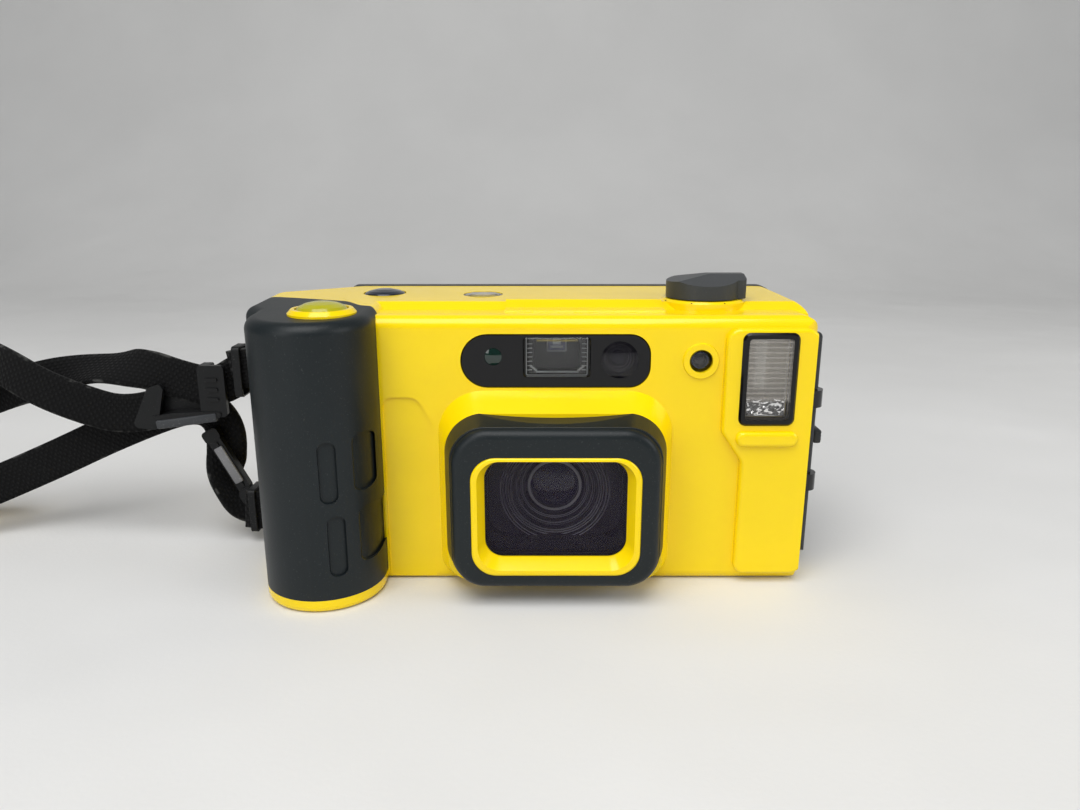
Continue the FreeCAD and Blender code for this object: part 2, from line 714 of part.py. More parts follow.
def finder_glass():
    """Front window of the viewfinder with a thicker middle."""
    f = front_face_y
    plate = bevel(prism(rect(-9.2, 9.9, 62.9, 74.3, 1.0), "xz", f - 0.1, f + panel_thick), 0.3, at_y(f - 0.1))
    return plate.fuse(box(-5.4, 6.4, f + panel_thick - 0.2, f + 4.6, 64.6, 73.0)).removeSplitter()


def focus_lens():
    """Round focusing window with a domed face."""
    f = front_face_y
    disc = rod_y(18.1, 67.9, 5.3, f - 0.6, f + panel_thick)
    return disc.common(Part.makeSphere(24.0, V(18.1, f - 0.6 + 24.0, 67.9)))


def timer_lamp():
    """Small self-timer lamp."""
    f = front_face_y
    disc = rod_y(-17.6, 68.8, 2.5, f - 0.2, f + panel_thick)
    return disc.common(Part.makeSphere(7.0, V(-17.6, f - 0.2 + 7.0, 68.8)))


def meter_window():
    """Clear disc over the light cell."""
    f = front_face_y
    disc = rod_y(meter_x, meter_z, 3.3, f + 0.2, f + 1.6)
    return disc.common(Part.makeSphere(12.0, V(meter_x, f + 0.2 + 12.0, meter_z)))


def flash_frame():
    """Dark frame round the flash window."""
    f = front_face_y - 3.2
    frame = prism(rect(flash_x0, flash_x1, flash_z0, flash_z1, 2.2), "xz", f, front_face_y + 1.0)
    frame = bevel(frame, 0.6, at_y(f))
    return frame.cut(prism(rect(flash_x0 + 1.7, flash_x1 - 1.7, flash_z0 + 1.7, flash_z1 - 1.7, 1.0), "xz", f - 1, f + 9))


def flash_lens():
    """Clear cover with upright prisms on its inner side."""
    f = front_face_y - 3.0
    x0 = flash_x0 + 1.7
    x1 = flash_x1 - 1.7
    plate = prism(rect(x0, x1, flash_z0 + 1.7, flash_z1 - 1.7, 1.0), "xz", f, f + 1.5)
    count = 7
    step = (x1 - x0 - 1.6) / count
    for i in range(count):
        x = x0 + 0.8 + i * step
        tooth = [(x, f + 1.4, 0), (x + step - 0.1, f + 1.4, 0), (x + step / 2, f + 2.0, 0)]
        plate = plate.fuse(prism(tooth, "xy", flash_z0 + 3.0, flash_z1 - 3.0))
    return plate


def flash_reflector():
    """Bright trough behind the flash cover."""
    f = front_face_y
    x0 = flash_x0 + 2.0
    x1 = flash_x1 - 2.0
    xm = (x0 + x1) / 2
    outer = box(x0, x1, f + 0.2, f + 9.0, flash_z0 + 2.0, flash_z1 - 2.0)
    trough = [(x0 + 0.5, f - 1, 0), (x1 - 0.5, f - 1, 0), (x1 - 0.5, f + 1.0, 2), (xm + 2.4, f + 8.4, 2.2),
              (xm - 2.4, f + 8.4, 2.2), (x0 + 0.5, f + 1.0, 2)]
    return outer.cut(prism(trough, "xy", flash_z0 + 2.6, flash_z1 - 2.6))


def flash_tube():
    """Glass flash tube standing in the trough."""
    xm = (flash_x0 + flash_x1) / 2
    y = front_face_y + 6.4
    tube = rod_z(xm, y, 1.2, flash_z0 + 2.6, flash_z1 - 2.6)
    return tube


def flash_capacitor():
    """Round capacitor standing in front of the film chassis."""
    z0 = capacitor_low_z
    z1 = z0 + 34.0
    return turned_z([(0, z0), (5.5, z0), (6.3, z0 + 0.8), (6.3, z1 - 0.8), (5.5, z1), (0, z1)], 38.0, -14.2)


# Controls on the top


def shutter_collar():
    """Yellow ring round the shutter button."""
    r = collar_r
    return turned_z([(r - 1.2, button_floor_z + 6), (r - 1.2, collar_seat_z), (r, collar_seat_z),
                     (r, collar_top_z - 1.1), (r - 1.0, collar_top_z), (button_r + play, collar_top_z),
                     (button_r + play, button_floor_z + 6)], button_x, button_y)


def shutter_button():
    """Domed shutter button on its stem."""
    z = collar_top_z
    r = button_r
    dome = [(0, z + 1.9), (2.5, z + 1.75), (4.6, z + 1.3), (6.2, z + 0.55), (r, z - 0.4), (r, z - 3.2),
            (5.4, z - 3.2), (5.4, z - 1.6), (button_stem_r, z - 1.6), (button_stem_r, 58.0), (0, 58.0)]
    return turned_z(dome, button_x, button_y)


def button_boot():
    """Rubber boot that seals the stem and pushes the button back."""
    z = collar_top_z - 1.6
    r = button_stem_r
    return turned_z([(r, z), (3.4, z), (4.9, z - 5.0), (6.6, button_floor_z + 1.2), (6.6, button_floor_z),
                     (4.9, button_floor_z), (4.2, z - 5.4), (2.9, z - 0.8), (r, z - 0.8)], button_x, button_y)


def timer_button():
    """Low dome of the self-timer button."""
    z = timer_floor_z + timer_travel + 0.15
    r = timer_r
    return turned_z([(0, z + 1.7), (2.6, z + 1.55), (4.8, z + 1.05), (6.0, z + 0.5), (r, z + 0.1), (r, z),
                     (timer_stem_r, z), (timer_stem_r, 73.0), (0, 73.0)], timer_x, timer_y)


def counter_window():
    """Clear window over the frame counter."""
    z = counter_seat_z
    r = counter_r
    return turned_z([(0, z), (r, z), (r, z + 1.7), (4.5, z + 2.05), (2.4, z + 2.2), (0, z + 2.25)],
                    counter_x, counter_y)


def counter_disc():
    """Counter disc on its shaft, with a notch for each frame round the edge."""
    disc = rod_z(counter_x, counter_y, counter_r + 1.0, disc_z - 0.6, disc_z)
    reach = counter_r + 1.0
    for i in range(19):
        notch = prism([(reach - 0.5, 0, 0), (reach + 0.5, -0.6, 0), (reach + 0.5, 0.6, 0)], "xy", 70, 80)
        notch.rotate(V(0, 0, 0), V(0, 0, 1), i * 360.0 / 19.0)
        notch.translate(V(counter_x, counter_y, 0))
        disc = disc.cut(notch)
    return disc.fuse(rod_z(counter_x, counter_y, 1.0, 62.0, disc_z - 0.3)).removeSplitter()


def mode_dial():
    """Selector knob with a ridge and a squared finger end."""
    z = dial_seat_z + play
    x = dial_x
    y = dial_y
    plan = rod_z(x, y, dial_r, z, 92)
    end = prism([(x + 2, y - 6.2, 0), (x + 11.9, y - 6.2, 1.6), (x + 11.9, y + 5.0, 1.6), (x + 2, y + 5.0, 0)],
                "xy", z, 92)
    roof = [(y - 14, 78, 0), (y + 14, 78, 0), (y + 14, 86.9, 0), (y + 3.0, 90.0, 2.0), (y - 1.0, 90.0, 2.0),
            (y - 14, 86.4, 0)]
    fall = [(x - 14, 78, 0), (x + 14, 78, 0), (x + 14, 90.3, 0), (x + 1.5, 90.0, 8.0), (x - 14, 87.4, 0)]
    knob = plan.fuse(end).removeSplitter()
    knob = knob.common(prism(roof, "yz", x - 20, x + 20)).common(prism(fall, "xz", y - 20, y + 20))
    return knob.cut(rod_z(x, y, dial_shaft_r, z - 1, z + 4.0))


def dial_shaft():
    """Metal shaft of the selector."""
    return rod_z(dial_x, dial_y, dial_shaft_r, 71.0, dial_seat_z + play + 4.0)


# Film chassis and transport


def film_chassis():
    """Black chassis: light tunnel, film gate, film bays and bearings."""
    block = prism(rect(chassis_left_x, chassis_right_x, chassis_low_z, chassis_top_z, 1.5), "xz",
                  chassis_front_y, seam_y - 1.2)
    shelf = box(30.0, 46.0, -20.6, chassis_front_y + 1, chassis_low_z, capacitor_low_z)
    post = rod_z(counter_x, counter_y, 3.0, chassis_top_z - 1, 75.5)
    body = block.fuse([shelf, post])
    body = body.cut(rod_z(0, 0, bush_r + 1.8 + play, 0, bush_len + 1.6 + play))
    gate_face = film_y - rail_h
    body = body.cut(prism(rect(-36.0, 36.0, axis_z - 20.5, axis_z + 20.5, 1.0), "xz", gate_face, seam_y + 1))
    rails = []
    for side in (-1, 1):
        z = axis_z + side * (gate_h / 2 + 1.4)
        rails.append(box(-30.0, 30.0, gate_face - 0.5, film_y, z - 0.6, z + 0.6))
        z = axis_z + side * 18.4
        rails.append(box(-30.0, 30.0, gate_face - 0.5, film_y + 0.2, z - 0.7, z + 0.7))
    body = body.fuse(rails)
    front = rect(-9.4, 9.4, axis_z - 9.4, axis_z + 9.4, 9.0)
    rear = rect(-gate_w / 2, gate_w / 2, axis_z - gate_h / 2, axis_z + gate_h / 2, 0.6)
    body = body.cut(blend(front, rear, "xz", chassis_front_y, gate_face))
    body = body.cut(prism(rear, "xz", gate_face - 0.1, film_y + 1))
    body = body.cut(rod_y(0, axis_z, barrel_r + 1.4, chassis_front_y - 1, chassis_front_y + 5.0))
    body = body.cut(can_bay()).cut(spool_bay()).cut(sprocket_bay())
    for x, z in screw_places:
        body = body.cut(rod_y(x, z, screw_r + 0.1, chassis_front_y - 1, seam_y))
        body = body.cut(rod_y(x, z, 2.0, seam_y - 3.4, seam_y))
    body = body.cut(rod_z(counter_x, counter_y, 1.0 + run_fit, 61.5, 80))
    return body.removeSplitter()


def can_bay():
    """Bay for the film cartridge, open to the rear, and the fork's bore."""
    bay = rod_z(can_x, can_y, can_r, can_low_z, can_high_z)
    mouth = box(can_x - can_r, can_x + can_r, can_y, seam_y + 1, can_low_z, can_high_z)
    return bay.fuse([mouth, rod_z(can_x, can_y, 1.5 + run_fit, chassis_low_z - 1, can_low_z + 1)])


def spool_bay():
    """Bay for the take-up spool, open to the rear, and its upper bearing."""
    r = spool_bay_r
    bay = rod_z(spool_x, spool_y, r, 5.6, 51.5)
    mouth = box(spool_x - r, spool_x + r, spool_y, seam_y + 1, 5.6, 51.5)
    return bay.fuse([mouth, rod_z(spool_x, spool_y, 2.0 + run_fit, 51.0, 55.5)])


def sprocket_bay():
    """Slot for the sprocket and its two bearings."""
    y = film_y - sprocket_r
    bay = rod_z(sprocket_x, y, sprocket_r + 1.8, axis_z - 17.0, axis_z + 17.0)
    return bay.fuse(rod_z(sprocket_x, y, 1.5 + run_fit, axis_z - 19.5, axis_z + 19.5))


def take_up_spool():
    """Hollow spool with flanges, a slotted wall and a pivot at the top."""
    z0 = 6.0
    z1 = 51.2
    r = spool_r
    spool = turned_z([(6.9, z0), (10.2, z0), (10.2, z0 + 1.2), (r, z0 + 1.8), (r, z1 - 1.8), (10.2, z1 - 1.2),
                      (10.2, z1), (2.0, z1), (2.0, z1 + 3.6), (0, z1 + 3.6), (0, z1 - 2.4), (6.9, z1 - 2.4)],
                     spool_x, spool_y)
    for i in range(3):
        a = math.radians(90 + 120 * i)
        slot = box(-0.9, 0.9, 0.0, 12.0, axis_z - 12.0, axis_z + 12.0)
        slot.rotate(V(0, 0, 0), V(0, 0, 1), math.degrees(a) - 90)
        slot.translate(V(spool_x, spool_y, 0))
        spool = spool.cut(slot)
    return spool


def film_motor():
    """Transport motor standing inside the spool."""
    motor = rod_z(spool_x, spool_y, 6.1, 5.6, 43.0)
    boss = rod_z(spool_x, spool_y, 2.4, 42.5, 45.0)
    return motor.fuse(boss).removeSplitter()


def sprocket():
    """Film sprocket: two toothed wheels on one shaft."""
    y = film_y - sprocket_r
    parts = [rod_z(sprocket_x, y, 1.5, axis_z - 19.2, axis_z + 19.2), rod_z(sprocket_x, y, 3.6, axis_z - 15, axis_z + 15)]
    for side in (-1, 1):
        z = axis_z + side * perf_half
        parts.append(rod_z(sprocket_x, y, sprocket_r, z - 1.8, z + 1.8))
        for i in range(8):
            tooth = [(sprocket_r - 0.5, -0.7, 0), (sprocket_r + 0.2, -0.7, 0), (sprocket_r + tooth_h, -0.35, 0),
                     (sprocket_r + tooth_h, 0.35, 0), (sprocket_r + 0.2, 0.7, 0), (sprocket_r - 0.5, 0.7, 0)]
            tooth = prism(tooth, "xy", z - 0.8, z + 0.8)
            tooth.rotate(V(0, 0, 0), V(0, 0, 1), 22.5 + 45 * i)
            tooth.translate(V(sprocket_x, y, 0))
            parts.append(tooth)
    return parts[0].fuse(parts[1:]).removeSplitter()


def rewind_fork():
    """Fork that turns the cartridge's core."""
    z = can_low_z
    fork = rod_z(can_x, can_y, 1.5, chassis_low_z + 0.1, z + 0.6).fuse(rod_z(can_x, can_y, 3.4, z + 0.3, z + 1.3))
    blade = box(can_x - 2.9, can_x + 2.9, can_y - 0.6, can_y + 0.6, z + 1.2, z + 4.2)
    return fork.fuse(blade).cut(rod_z(can_x, can_y, 1.1, z + 1.8, z + 6)).removeSplitter()


def finder_tube():
    """Dark tube of the viewfinder on top of the chassis."""
    y0 = front_face_y + 5.0
    y1 = seam_y - 1.4
    tube = box(-8.2, 9.2, y0, y1, chassis_top_z, 76.2)
    return tube.cut(box(-6.2, 7.2, y0 - 1, y1 + 1, 63.0, 74.4))


def finder_lens():
    """Middle lens of the viewfinder."""
    slab = box(-6.2, 7.2, 4.0, 7.0, 63.0, 74.4)
    return slab.common(Part.makeSphere(60.0, V(0.5, 4.0 + 60.0, 68.7)))


def circuit_board():
    """Circuit board on the chassis with its larger chips."""
    z = chassis_top_z
    board = box(-56.0, -11.0, -20.0, 18.0, z, z + 1.2)
    board = board.cut(rod_z(counter_x, counter_y, 3.4, z - 1, z + 3))
    chips = [box(-50, -38, -12, 0, z + 1, z + 3.2), box(-34, -27, -16, -9, z + 1, z + 2.8),
             box(-52, -44, 6, 12, z + 1, z + 4.0)]
    return board.fuse(chips).removeSplitter()


def battery_cells():
    """Four round cells standing in the grip."""
    reach = cell_r + 0.06
    cells = []
    for sx in (-1, 1):
        for sy in (-1, 1):
            x = grip_x + sx * reach
            y = grip_y + sy * reach
            z0 = cell_top_z - cell_len
            cell = turned_z([(0, z0), (cell_r, z0), (cell_r, cell_top_z - 1.0), (2.0, cell_top_z - 1.0),
                             (2.0, cell_top_z), (0, cell_top_z)], x, y)
            cells.append(cell)
    return Part.makeCompound(cells)


def battery_contacts():
    """Contact plate above the cells."""
    plate = rod_z(grip_x, grip_y, cell_bay_r, cell_top_z, cell_top_z + contact_thick)
    return plate.cut(box(grip_x - 0.6, grip_x + 0.6, grip_y - 12, grip_y + 12, cell_top_z - 1, cell_top_z + 2))


def battery_cap():
    """Quarter-turn cap in the base with a coin slot."""
    plug_r = cell_bay_r - run_fit
    cap = turned_z([(0, 0.3), (cap_rim_r - 0.5, 0.3), (cap_rim_r, 0.8), (cap_rim_r, cap_rim_z - 0.05),
                    (plug_r, cap_rim_z - 0.05), (plug_r, 3.0), (plug_r - 0.9, 3.0), (plug_r - 0.9, 4.2),
                    (plug_r, 4.2), (plug_r, cap_plug_z), (0, cap_plug_z)], grip_x, grip_y)
    return cap.cut(prism(rect(grip_x - 8.5, grip_x + 8.5, grip_y - 1.0, grip_y + 1.0, 0.9), "xy", -1, 1.5))


def cap_seal():
    """Rubber ring in the cap's groove."""
    plug_r = cell_bay_r - run_fit
    return turned_z([(plug_r - 0.9, 3.0), (plug_r - 0.1, 3.0), (plug_r, 3.3), (plug_r, 3.9), (plug_r - 0.1, 4.2),
                     (plug_r - 0.9, 4.2)], grip_x, grip_y)


def tripod_bush():
    """Metal bush pressed into the base."""
    bush = rod_z(0, 0, bush_r, 0, bush_len).cut(rod_z(0, 0, thread_r, -1, bush_len - 1.0))
    return bush


def case_screws():
    """Screws that hold the chassis to the shell."""
    screws = []
    for x, z in screw_places:
        head = rod_y(x, z, 1.9, seam_y - 3.4, seam_y - 2.0)
        slot = box(x - 0.3, x + 0.3, seam_y - 2.7, seam_y, z - 1.4, z + 1.4)
        cross = box(x - 1.4, x + 1.4, seam_y - 2.7, seam_y, z - 0.3, z + 0.3)
        screws.append(head.cut(slot.fuse(cross)).fuse(rod_y(x, z, screw_r, chassis_front_y - 7.6, seam_y - 3.0)))
    return Part.makeCompound([s.removeSplitter() for s in screws])


# Rear door


def door_form():
    """Outer form of the door."""
    y1 = seam_y + door_thick
    plan = [(door_left_x, seam_y, 0.4), (right_x, seam_y, 0.4), (right_x, y1, 4.6), (door_left_x, y1, 2.4)]
    face = [(door_left_x, 0.3, 2.0), (right_x, 0.3, 5.0), (right_x, 83.3, 6.5), (door_left_x, 83.3, 3.0)]
    side = [(seam_y, 0.3, 0.3), (y1, 0.3, 2.4), (y1, 83.3, 2.4), (seam_y, 83.3, 0.3)]
    form = prism(plan, "xy", 0, 84).common(prism(face, "xz", seam_y - 1, y1 + 1))
    return form.common(prism(side, "yz", door_left_x - 1, right_x + 1))


def seal_ring(y0, y1):
    """Rectangular ring near the door's edge."""
    outer = prism(rect(-66.2, 72.6, 1.2, 81.4, 4.5), "xz", y0, y1)
    return outer.cut(prism(rect(-64.2, 70.6, 3.2, 79.4, 3.0), "xz", y0 - 1, y1 + 1))


def rear_door():
    """Rear door with its seal groove, windows and plate guides."""
    y1 = seam_y + door_thick
    inner_y = y1 - door_skin
    door = door_form()
    door = door.cut(prism(rect(-60.0, 67.0, 6.0, 76.0, 3.0), "xz", seam_y - 1, inner_y))
    for shape in hinge_knuckles(door_knuckles, "door"):
        door = door.fuse(shape)
    door = door.cut(seal_ring(seam_y - 1, seam_y + 1.9))
    door = door.cut(rod_z(pin_x, pin_y, pin_r + run_fit, -1, 95))
    posts = [rod_y(x, axis_z, 3.6, plate_post_y, inner_y + 0.5) for x in (-plate_stud_x, plate_stud_x)]
    posts.append(rod_y(0, axis_z, 3.0, plate_post_y, inner_y + 0.5))
    door = door.fuse(posts)
    for x in (-plate_stud_x, plate_stud_x):
        door = door.cut(rod_y(x, axis_z, plate_stud_r + run_fit, plate_post_y - 1, inner_y))
    door = door.cut(prism(rect(-5.6, 6.6, 63.4, 73.2, 1.5), "xz", inner_y - 1, y1 + 1))
    door = door.cut(prism(rect(-6.8, 7.8, 62.2, 74.4, 2.2), "xz", y1 - 1.2, y1 + 1))
    door = door.cut(prism(rect(42.5, 48.5, 15.5, 41.5, 2.4), "xz", inner_y - 1, y1 + 1))
    door = door.cut(prism(rect(41.3, 49.7, 14.3, 42.7, 3.4), "xz", y1 - 1.2, y1 + 1))
    door = door.cut(box(hook_x - play, right_x + 1, hook_y - play, y1 + 1, hook_low_z - play, hook_high_z + play))
    return door.removeSplitter()


def door_seal():
    """Rubber seal in the door's groove."""
    return seal_ring(seam_y, seam_y + 1.9)


def eyepiece_window():
    """Clear eyepiece set in the door."""
    y1 = seam_y + door_thick
    return prism(rect(-6.8, 7.8, 62.2, 74.4, 2.2), "xz", y1 - 1.2, y1 - 0.2)


def film_window():
    """Clear strip that shows the cartridge's label."""
    y1 = seam_y + door_thick
    return prism(rect(41.3, 49.7, 14.3, 42.7, 3.4), "xz", y1 - 1.2, y1 - 0.1)


def can_spring():
    """Bowed leaf on the door that steadies the cartridge."""
    y = seam_y + door_thick - door_skin
    x = can_x + 7.5
    leaf = [(x - 5.5, y, 0), (x - 4.5, y, 0), (x - 1.2, y - 3.0, 1.5), (x + 1.2, y - 3.0, 1.5), (x + 4.5, y, 0),
            (x + 5.5, y, 0), (x + 1.5, y - 3.5, 1.8), (x - 1.5, y - 3.5, 1.8)]
    return prism(leaf, "xy", 20.0, 37.0)


def pressure_plate():
    """Plate that holds the film flat, on two studs."""
    y = film_y + 0.3
    x0 = sprocket_x + sprocket_r + tooth_h + 0.5
    plate = prism(rect(x0, 28.0, axis_z - 16.8, axis_z + 16.8, 2.0), "xz", y, y + 1.2)
    studs = [rod_y(x, axis_z, plate_stud_r, y + 1.0, seam_y + 0.8) for x in (-plate_stud_x, plate_stud_x)]
    return plate.fuse(studs).removeSplitter()


def plate_spring():
    """Bowed leaf behind the plate."""
    y0 = film_y + 1.5
    y1 = plate_post_y
    leaf = [(-11.0, y0, 0), (-9.0, y0, 0), (-3.0, y1 - 0.35, 2), (3.0, y1 - 0.35, 2), (9.0, y0, 0), (11.0, y0, 0),
            (3.3, y1, 2.3), (-3.3, y1, 2.3)]
    return prism(leaf, "xy", axis_z - 4.0, axis_z + 4.0)


def hinge_pin():
    """Steel pin of the door hinge."""
    r = pin_r
    return turned_z([(0, 5.6), (r - 0.3, 5.6), (r, 5.9), (r, 75.1), (r - 0.3, 75.4), (0, 75.4)], pin_x, pin_y)


# Side latch


def side_latch():
    """Long latch plate on the right side with a hook behind the door."""
    x0 = latch_pin_x - latch_half
    x1 = latch_pin_x + latch_half
    y0 = latch_pin_y - latch_half
    plan = [(x0, y0, latch_half - 0.01), (x1, y0, latch_half - 0.01), (x1, latch_rear_y, 2.4), (x0, latch_rear_y, 0)]
    face = [(y0, latch_low_z, 4.0), (latch_rear_y, latch_low_z, 3.0), (latch_rear_y, latch_high_z, 3.0),
            (y0, latch_high_z, 4.0)]
    plate = prism(plan, "xy", 0, 80).common(prism(face, "yz", x0 - 1, x1 + 1))
    hook = box(hook_x, x1 - 1.0, hook_y, latch_rear_y, hook_low_z, hook_high_z)
    plate = plate.fuse(soften(hook, 0.6, lambda e: e.BoundBox.XLength < 0.01 and abs(e.BoundBox.Center.x - hook_x) < 0.01))
    for z0, z1 in ear_spans:
        plate = plate.cut(rod_z(latch_pin_x, latch_pin_y, ear_r + play, z0 - play, z1 + play))
    plate = plate.cut(rod_z(latch_pin_x, latch_pin_y, latch_pin_r + run_fit, 0, 90))
    g = lock_play
    low = lock_z - lock_half
    top = lock_z + lock_half + lock_travel
    plate = plate.cut(box(x1 - 2.1 - g, x1 - 1.2 + g, lock_y - lock_foot - g, lock_y + lock_foot + g, low - g, top + g))
    return plate.cut(box(x1 - 1.5, x1 + 1, lock_y - lock_neck - g, lock_y + lock_neck + g, low - g, top + g))


def latch_pin():
    """Steel pin of the latch."""
    return rod_z(latch_pin_x, latch_pin_y, latch_pin_r, latch_low_z + 1.2, latch_high_z - 1.2)


def latch_lock():
    """Sliding lock button on the latch."""
    x1 = latch_pin_x + latch_half
    foot = box(x1 - 2.1, x1 - 1.2, lock_y - lock_foot, lock_y + lock_foot, lock_z - lock_half, lock_z + lock_half)
    neck = box(x1 - 1.6, x1 + 0.4, lock_y - lock_neck, lock_y + lock_neck, lock_z - lock_half, lock_z + lock_half)
    knob = prism(rect(lock_y - lock_neck - 0.6, lock_y + lock_neck + 0.6, lock_z - lock_half + 0.5,
                      lock_z + lock_half - 0.5, 1.4), "yz", x1 + 0.2, x1 + 2.2)
    knob = soften(knob, 0.7, lambda e: e.BoundBox.XLength < 0.01 and abs(e.BoundBox.Center.x - x1 - 2.2) < 0.01)
    return foot.fuse([neck, knob]).removeSplitter()


# Strap fittings


def strap_lugs():
    """Two loops on the left side that the strap is threaded through."""
    lugs = []
    for z in lug_heights:
        x = left_x
        base = prism([(lug_y - 3.6, z - 8.6, 1.6), (lug_y + 3.6, z - 8.6, 1.6), (lug_y + 3.6, z + 8.6, 1.6),
                      (lug_y - 3.6, z + 8.6, 1.6)], "yz", x - 1.2, x)
        arms = [box(x - lug_reach, x - 0.6, lug_y - 1.6, lug_y + 1.6, zz - 0.8, zz + 0.8) for zz in (z - 7.4, z + 7.4)]
        bar = rod_z(x - lug_reach, lug_y, 1.6, z - 8.2, z + 8.2)
        lugs.append(base.fuse(arms + [bar]).removeSplitter())
    return Part.makeCompound(lugs)


# Strap


def strap_sections(route):
    """Sections along straight runs and tangent arcs as (place, direction, width direction); radii and length."""
    points = [V(*p) for p, w in route]
    widths = [V(*w) for p, w in route]
    runs = [points[i + 1].sub(points[i]) for i in range(len(points) - 1)]
    sections = [(points[0], runs[0], widths[0])]
    radii = []
    length = 0.0
    last = points[0]
    for i in range(1, len(points) - 1):
        before = runs[i - 1].Length
        after = runs[i].Length
        a = V(runs[i - 1]).normalize()
        b = V(runs[i]).normalize()
        cut = 0.45 * min(before, after)
        turn = a.getAngle(b)
        radius = cut / math.tan(turn / 2.0)
        radii.append(radius)
        start = points[i].sub(V(a).multiply(cut))
        end = points[i].add(V(b).multiply(cut))
        inward = b.sub(a).normalize()
        middle = points[i].add(inward.multiply(radius / math.cos(turn / 2.0) - radius))
        early = V(widths[i - 1]).multiply(cut / before).add(V(widths[i]).multiply(1 - cut / before))
        late = V(widths[i]).multiply(1 - cut / after).add(V(widths[i + 1]).multiply(cut / after))
        sections += [(start, a, early), (middle, a.add(b), widths[i]), (end, b, late)]
        length += start.sub(last).Length + radius * turn
        last = end
    sections.append((points[-1], runs[-1], widths[-1]))
    return sections, radii, length + points[-1].sub(last).Length


def strap_section(place, along, across):
    """Rectangle of the webbing square to its direction."""
    t = V(along).normalize()
    w = V(across).sub(V(t).multiply(V(*across).dot(t))).normalize()
    n = t.cross(w)
    w.multiply(strap_w / 2.0)
    n.multiply(strap_t / 2.0)
    corners = [place.add(w).add(n), place.add(w).sub(n), place.sub(w).sub(n), place.sub(w).add(n)]
    return Part.makePolygon(corners + corners[:1])


def strap_band(name, route):
    """Flat band along a route; its bend radii and length are printed."""
    sections, radii, length = strap_sections(route)
    print(name, "length %.1f" % length, "radii", " ".join("%.1f" % r for r in radii))
    return Part.makeLoft([strap_section(*s) for s in sections], True, True)


def upper_end():
    """Where the upper stretch meets the roll."""
    return V(roll_x + strap_t, roll_y - roll_inner - roll_step * upper_halves, roll_mid_z)


def lower_end():
    """Where the lower stretch meets the roll."""
    return V(roll_x + strap_t, roll_y - roll_inner - roll_step * lower_halves, roll_mid_z)


def strap_webbing():
    """The strap's free stretches: from each lug to the roll, and the adjuster's free tail."""
    up = (0, 0, 1)
    upper = upper_route + ((tuple(upper_end()), up),)
    lower = ((tuple(lower_end()), up),) + lower_route
    bands = [strap_band("upper stretch", upper), strap_band("lower stretch", lower), strap_band("tail", tail_route)]
    pressed = [strap_roll(), strap_lugs(), ladder_buckle(), side_buckle()]
    bands = [band.cut(pressed) for band in bands]
    return Part.makeCompound([max(band.Solids, key=lambda s: s.Volume) for band in bands])


def half_turn(centre, radius, side, forward):
    """Half circle of the roll: across is -Y from the roll's middle, side tells which way it bulges along X."""
    ends = [(centre + forward * radius, 0.0), (centre, side * radius), (centre - forward * radius, 0.0)]
    return Part.Arc(*[V(roll_x + v, roll_y - u, roll_mid_z) for u, v in ends]).toShape()


def roll_path():
    """Line of the roll: in along the upper stretch, an S in the middle, out along the lower stretch."""
    edges = [Part.makeLine(upper_end(), upper_end().sub(V(strap_t, 0, 0)))]
    for k in reversed(range(upper_halves)):
        even = k % 2 == 0
        edges.append(half_turn(0.0 if even else roll_step, roll_inner + k * roll_step, 1 if even else -1,
                               -1 if even else 1))
    small = (roll_inner - roll_step / 2.0) / 2.0
    edges.append(half_turn(roll_inner - small, small, -1, 1))
    edges.append(half_turn(roll_step - roll_inner + small, small, 1, 1))
    for k in range(lower_halves):
        even = k % 2 == 0
        edges.append(half_turn(roll_step if even else 0.0, roll_inner + k * roll_step, -1 if even else 1,
                               -1 if even else 1))
    edges.append(Part.makeLine(lower_end().sub(V(strap_t, 0, 0)), lower_end()))
    return Part.Wire(edges)


def strap_roll():
    """Unseen length of the strap rolled up double, standing on its edge; its least gap is printed."""
    path = roll_path()
    points = path.discretize(Distance=1.5)
    least = 1e9
    for i in range(len(points)):
        for j in range(i + 14, len(points)):
            least = min(least, points[i].distanceToPoint(points[j]))
    print("roll length %.1f least gap %.2f" % (path.Length, least - strap_t))
    return path.makePipeShell([strap_section(upper_end(), V(-1, 0, 0), V(0, 0, 1))], True, False)


def strap_float():
    """Padded yellow band that holds the roll, with its free tongue."""
    inner = roll_inner - strap_t / 2.0 - play
    outer = roll_inner + (upper_halves - 1) * roll_step + strap_t / 2.0 + play
    top = roll_low_z + strap_w + play
    profile = [V(inner - float_wall, 0, 0), V(outer + float_wall, 0, 0), V(outer + float_wall, 0, top + float_wall),
               V(inner - float_wall, 0, top + float_wall)]
    room = [V(inner, 0, float_wall), V(outer, 0, float_wall), V(outer, 0, top), V(inner, 0, top)]
    half = math.degrees(math.asin(float_half / outer))
    shapes = []
    for corners in (profile, room):
        face = Part.Face(Part.makePolygon(corners + corners[:1]))
        face.rotate(V(0, 0, 0), V(0, 0, 1), -half)
        shapes.append(face.revolve(V(0, 0, 0), V(0, 0, 1), 2 * half))
    band = shapes[0].cut(shapes[1])
    band.translate(V(roll_x, roll_y, 0))
    x0 = roll_x + outer - 1.0
    tongue = prism([(x0, roll_y - float_half, 0), (float_tip_x, roll_y - float_half, 5.0),
                    (float_tip_x, roll_y + float_half, 5.0), (x0, roll_y + float_half, 0)],
                   "xy", top, top + float_wall)
    return band.fuse(tongue).removeSplitter()


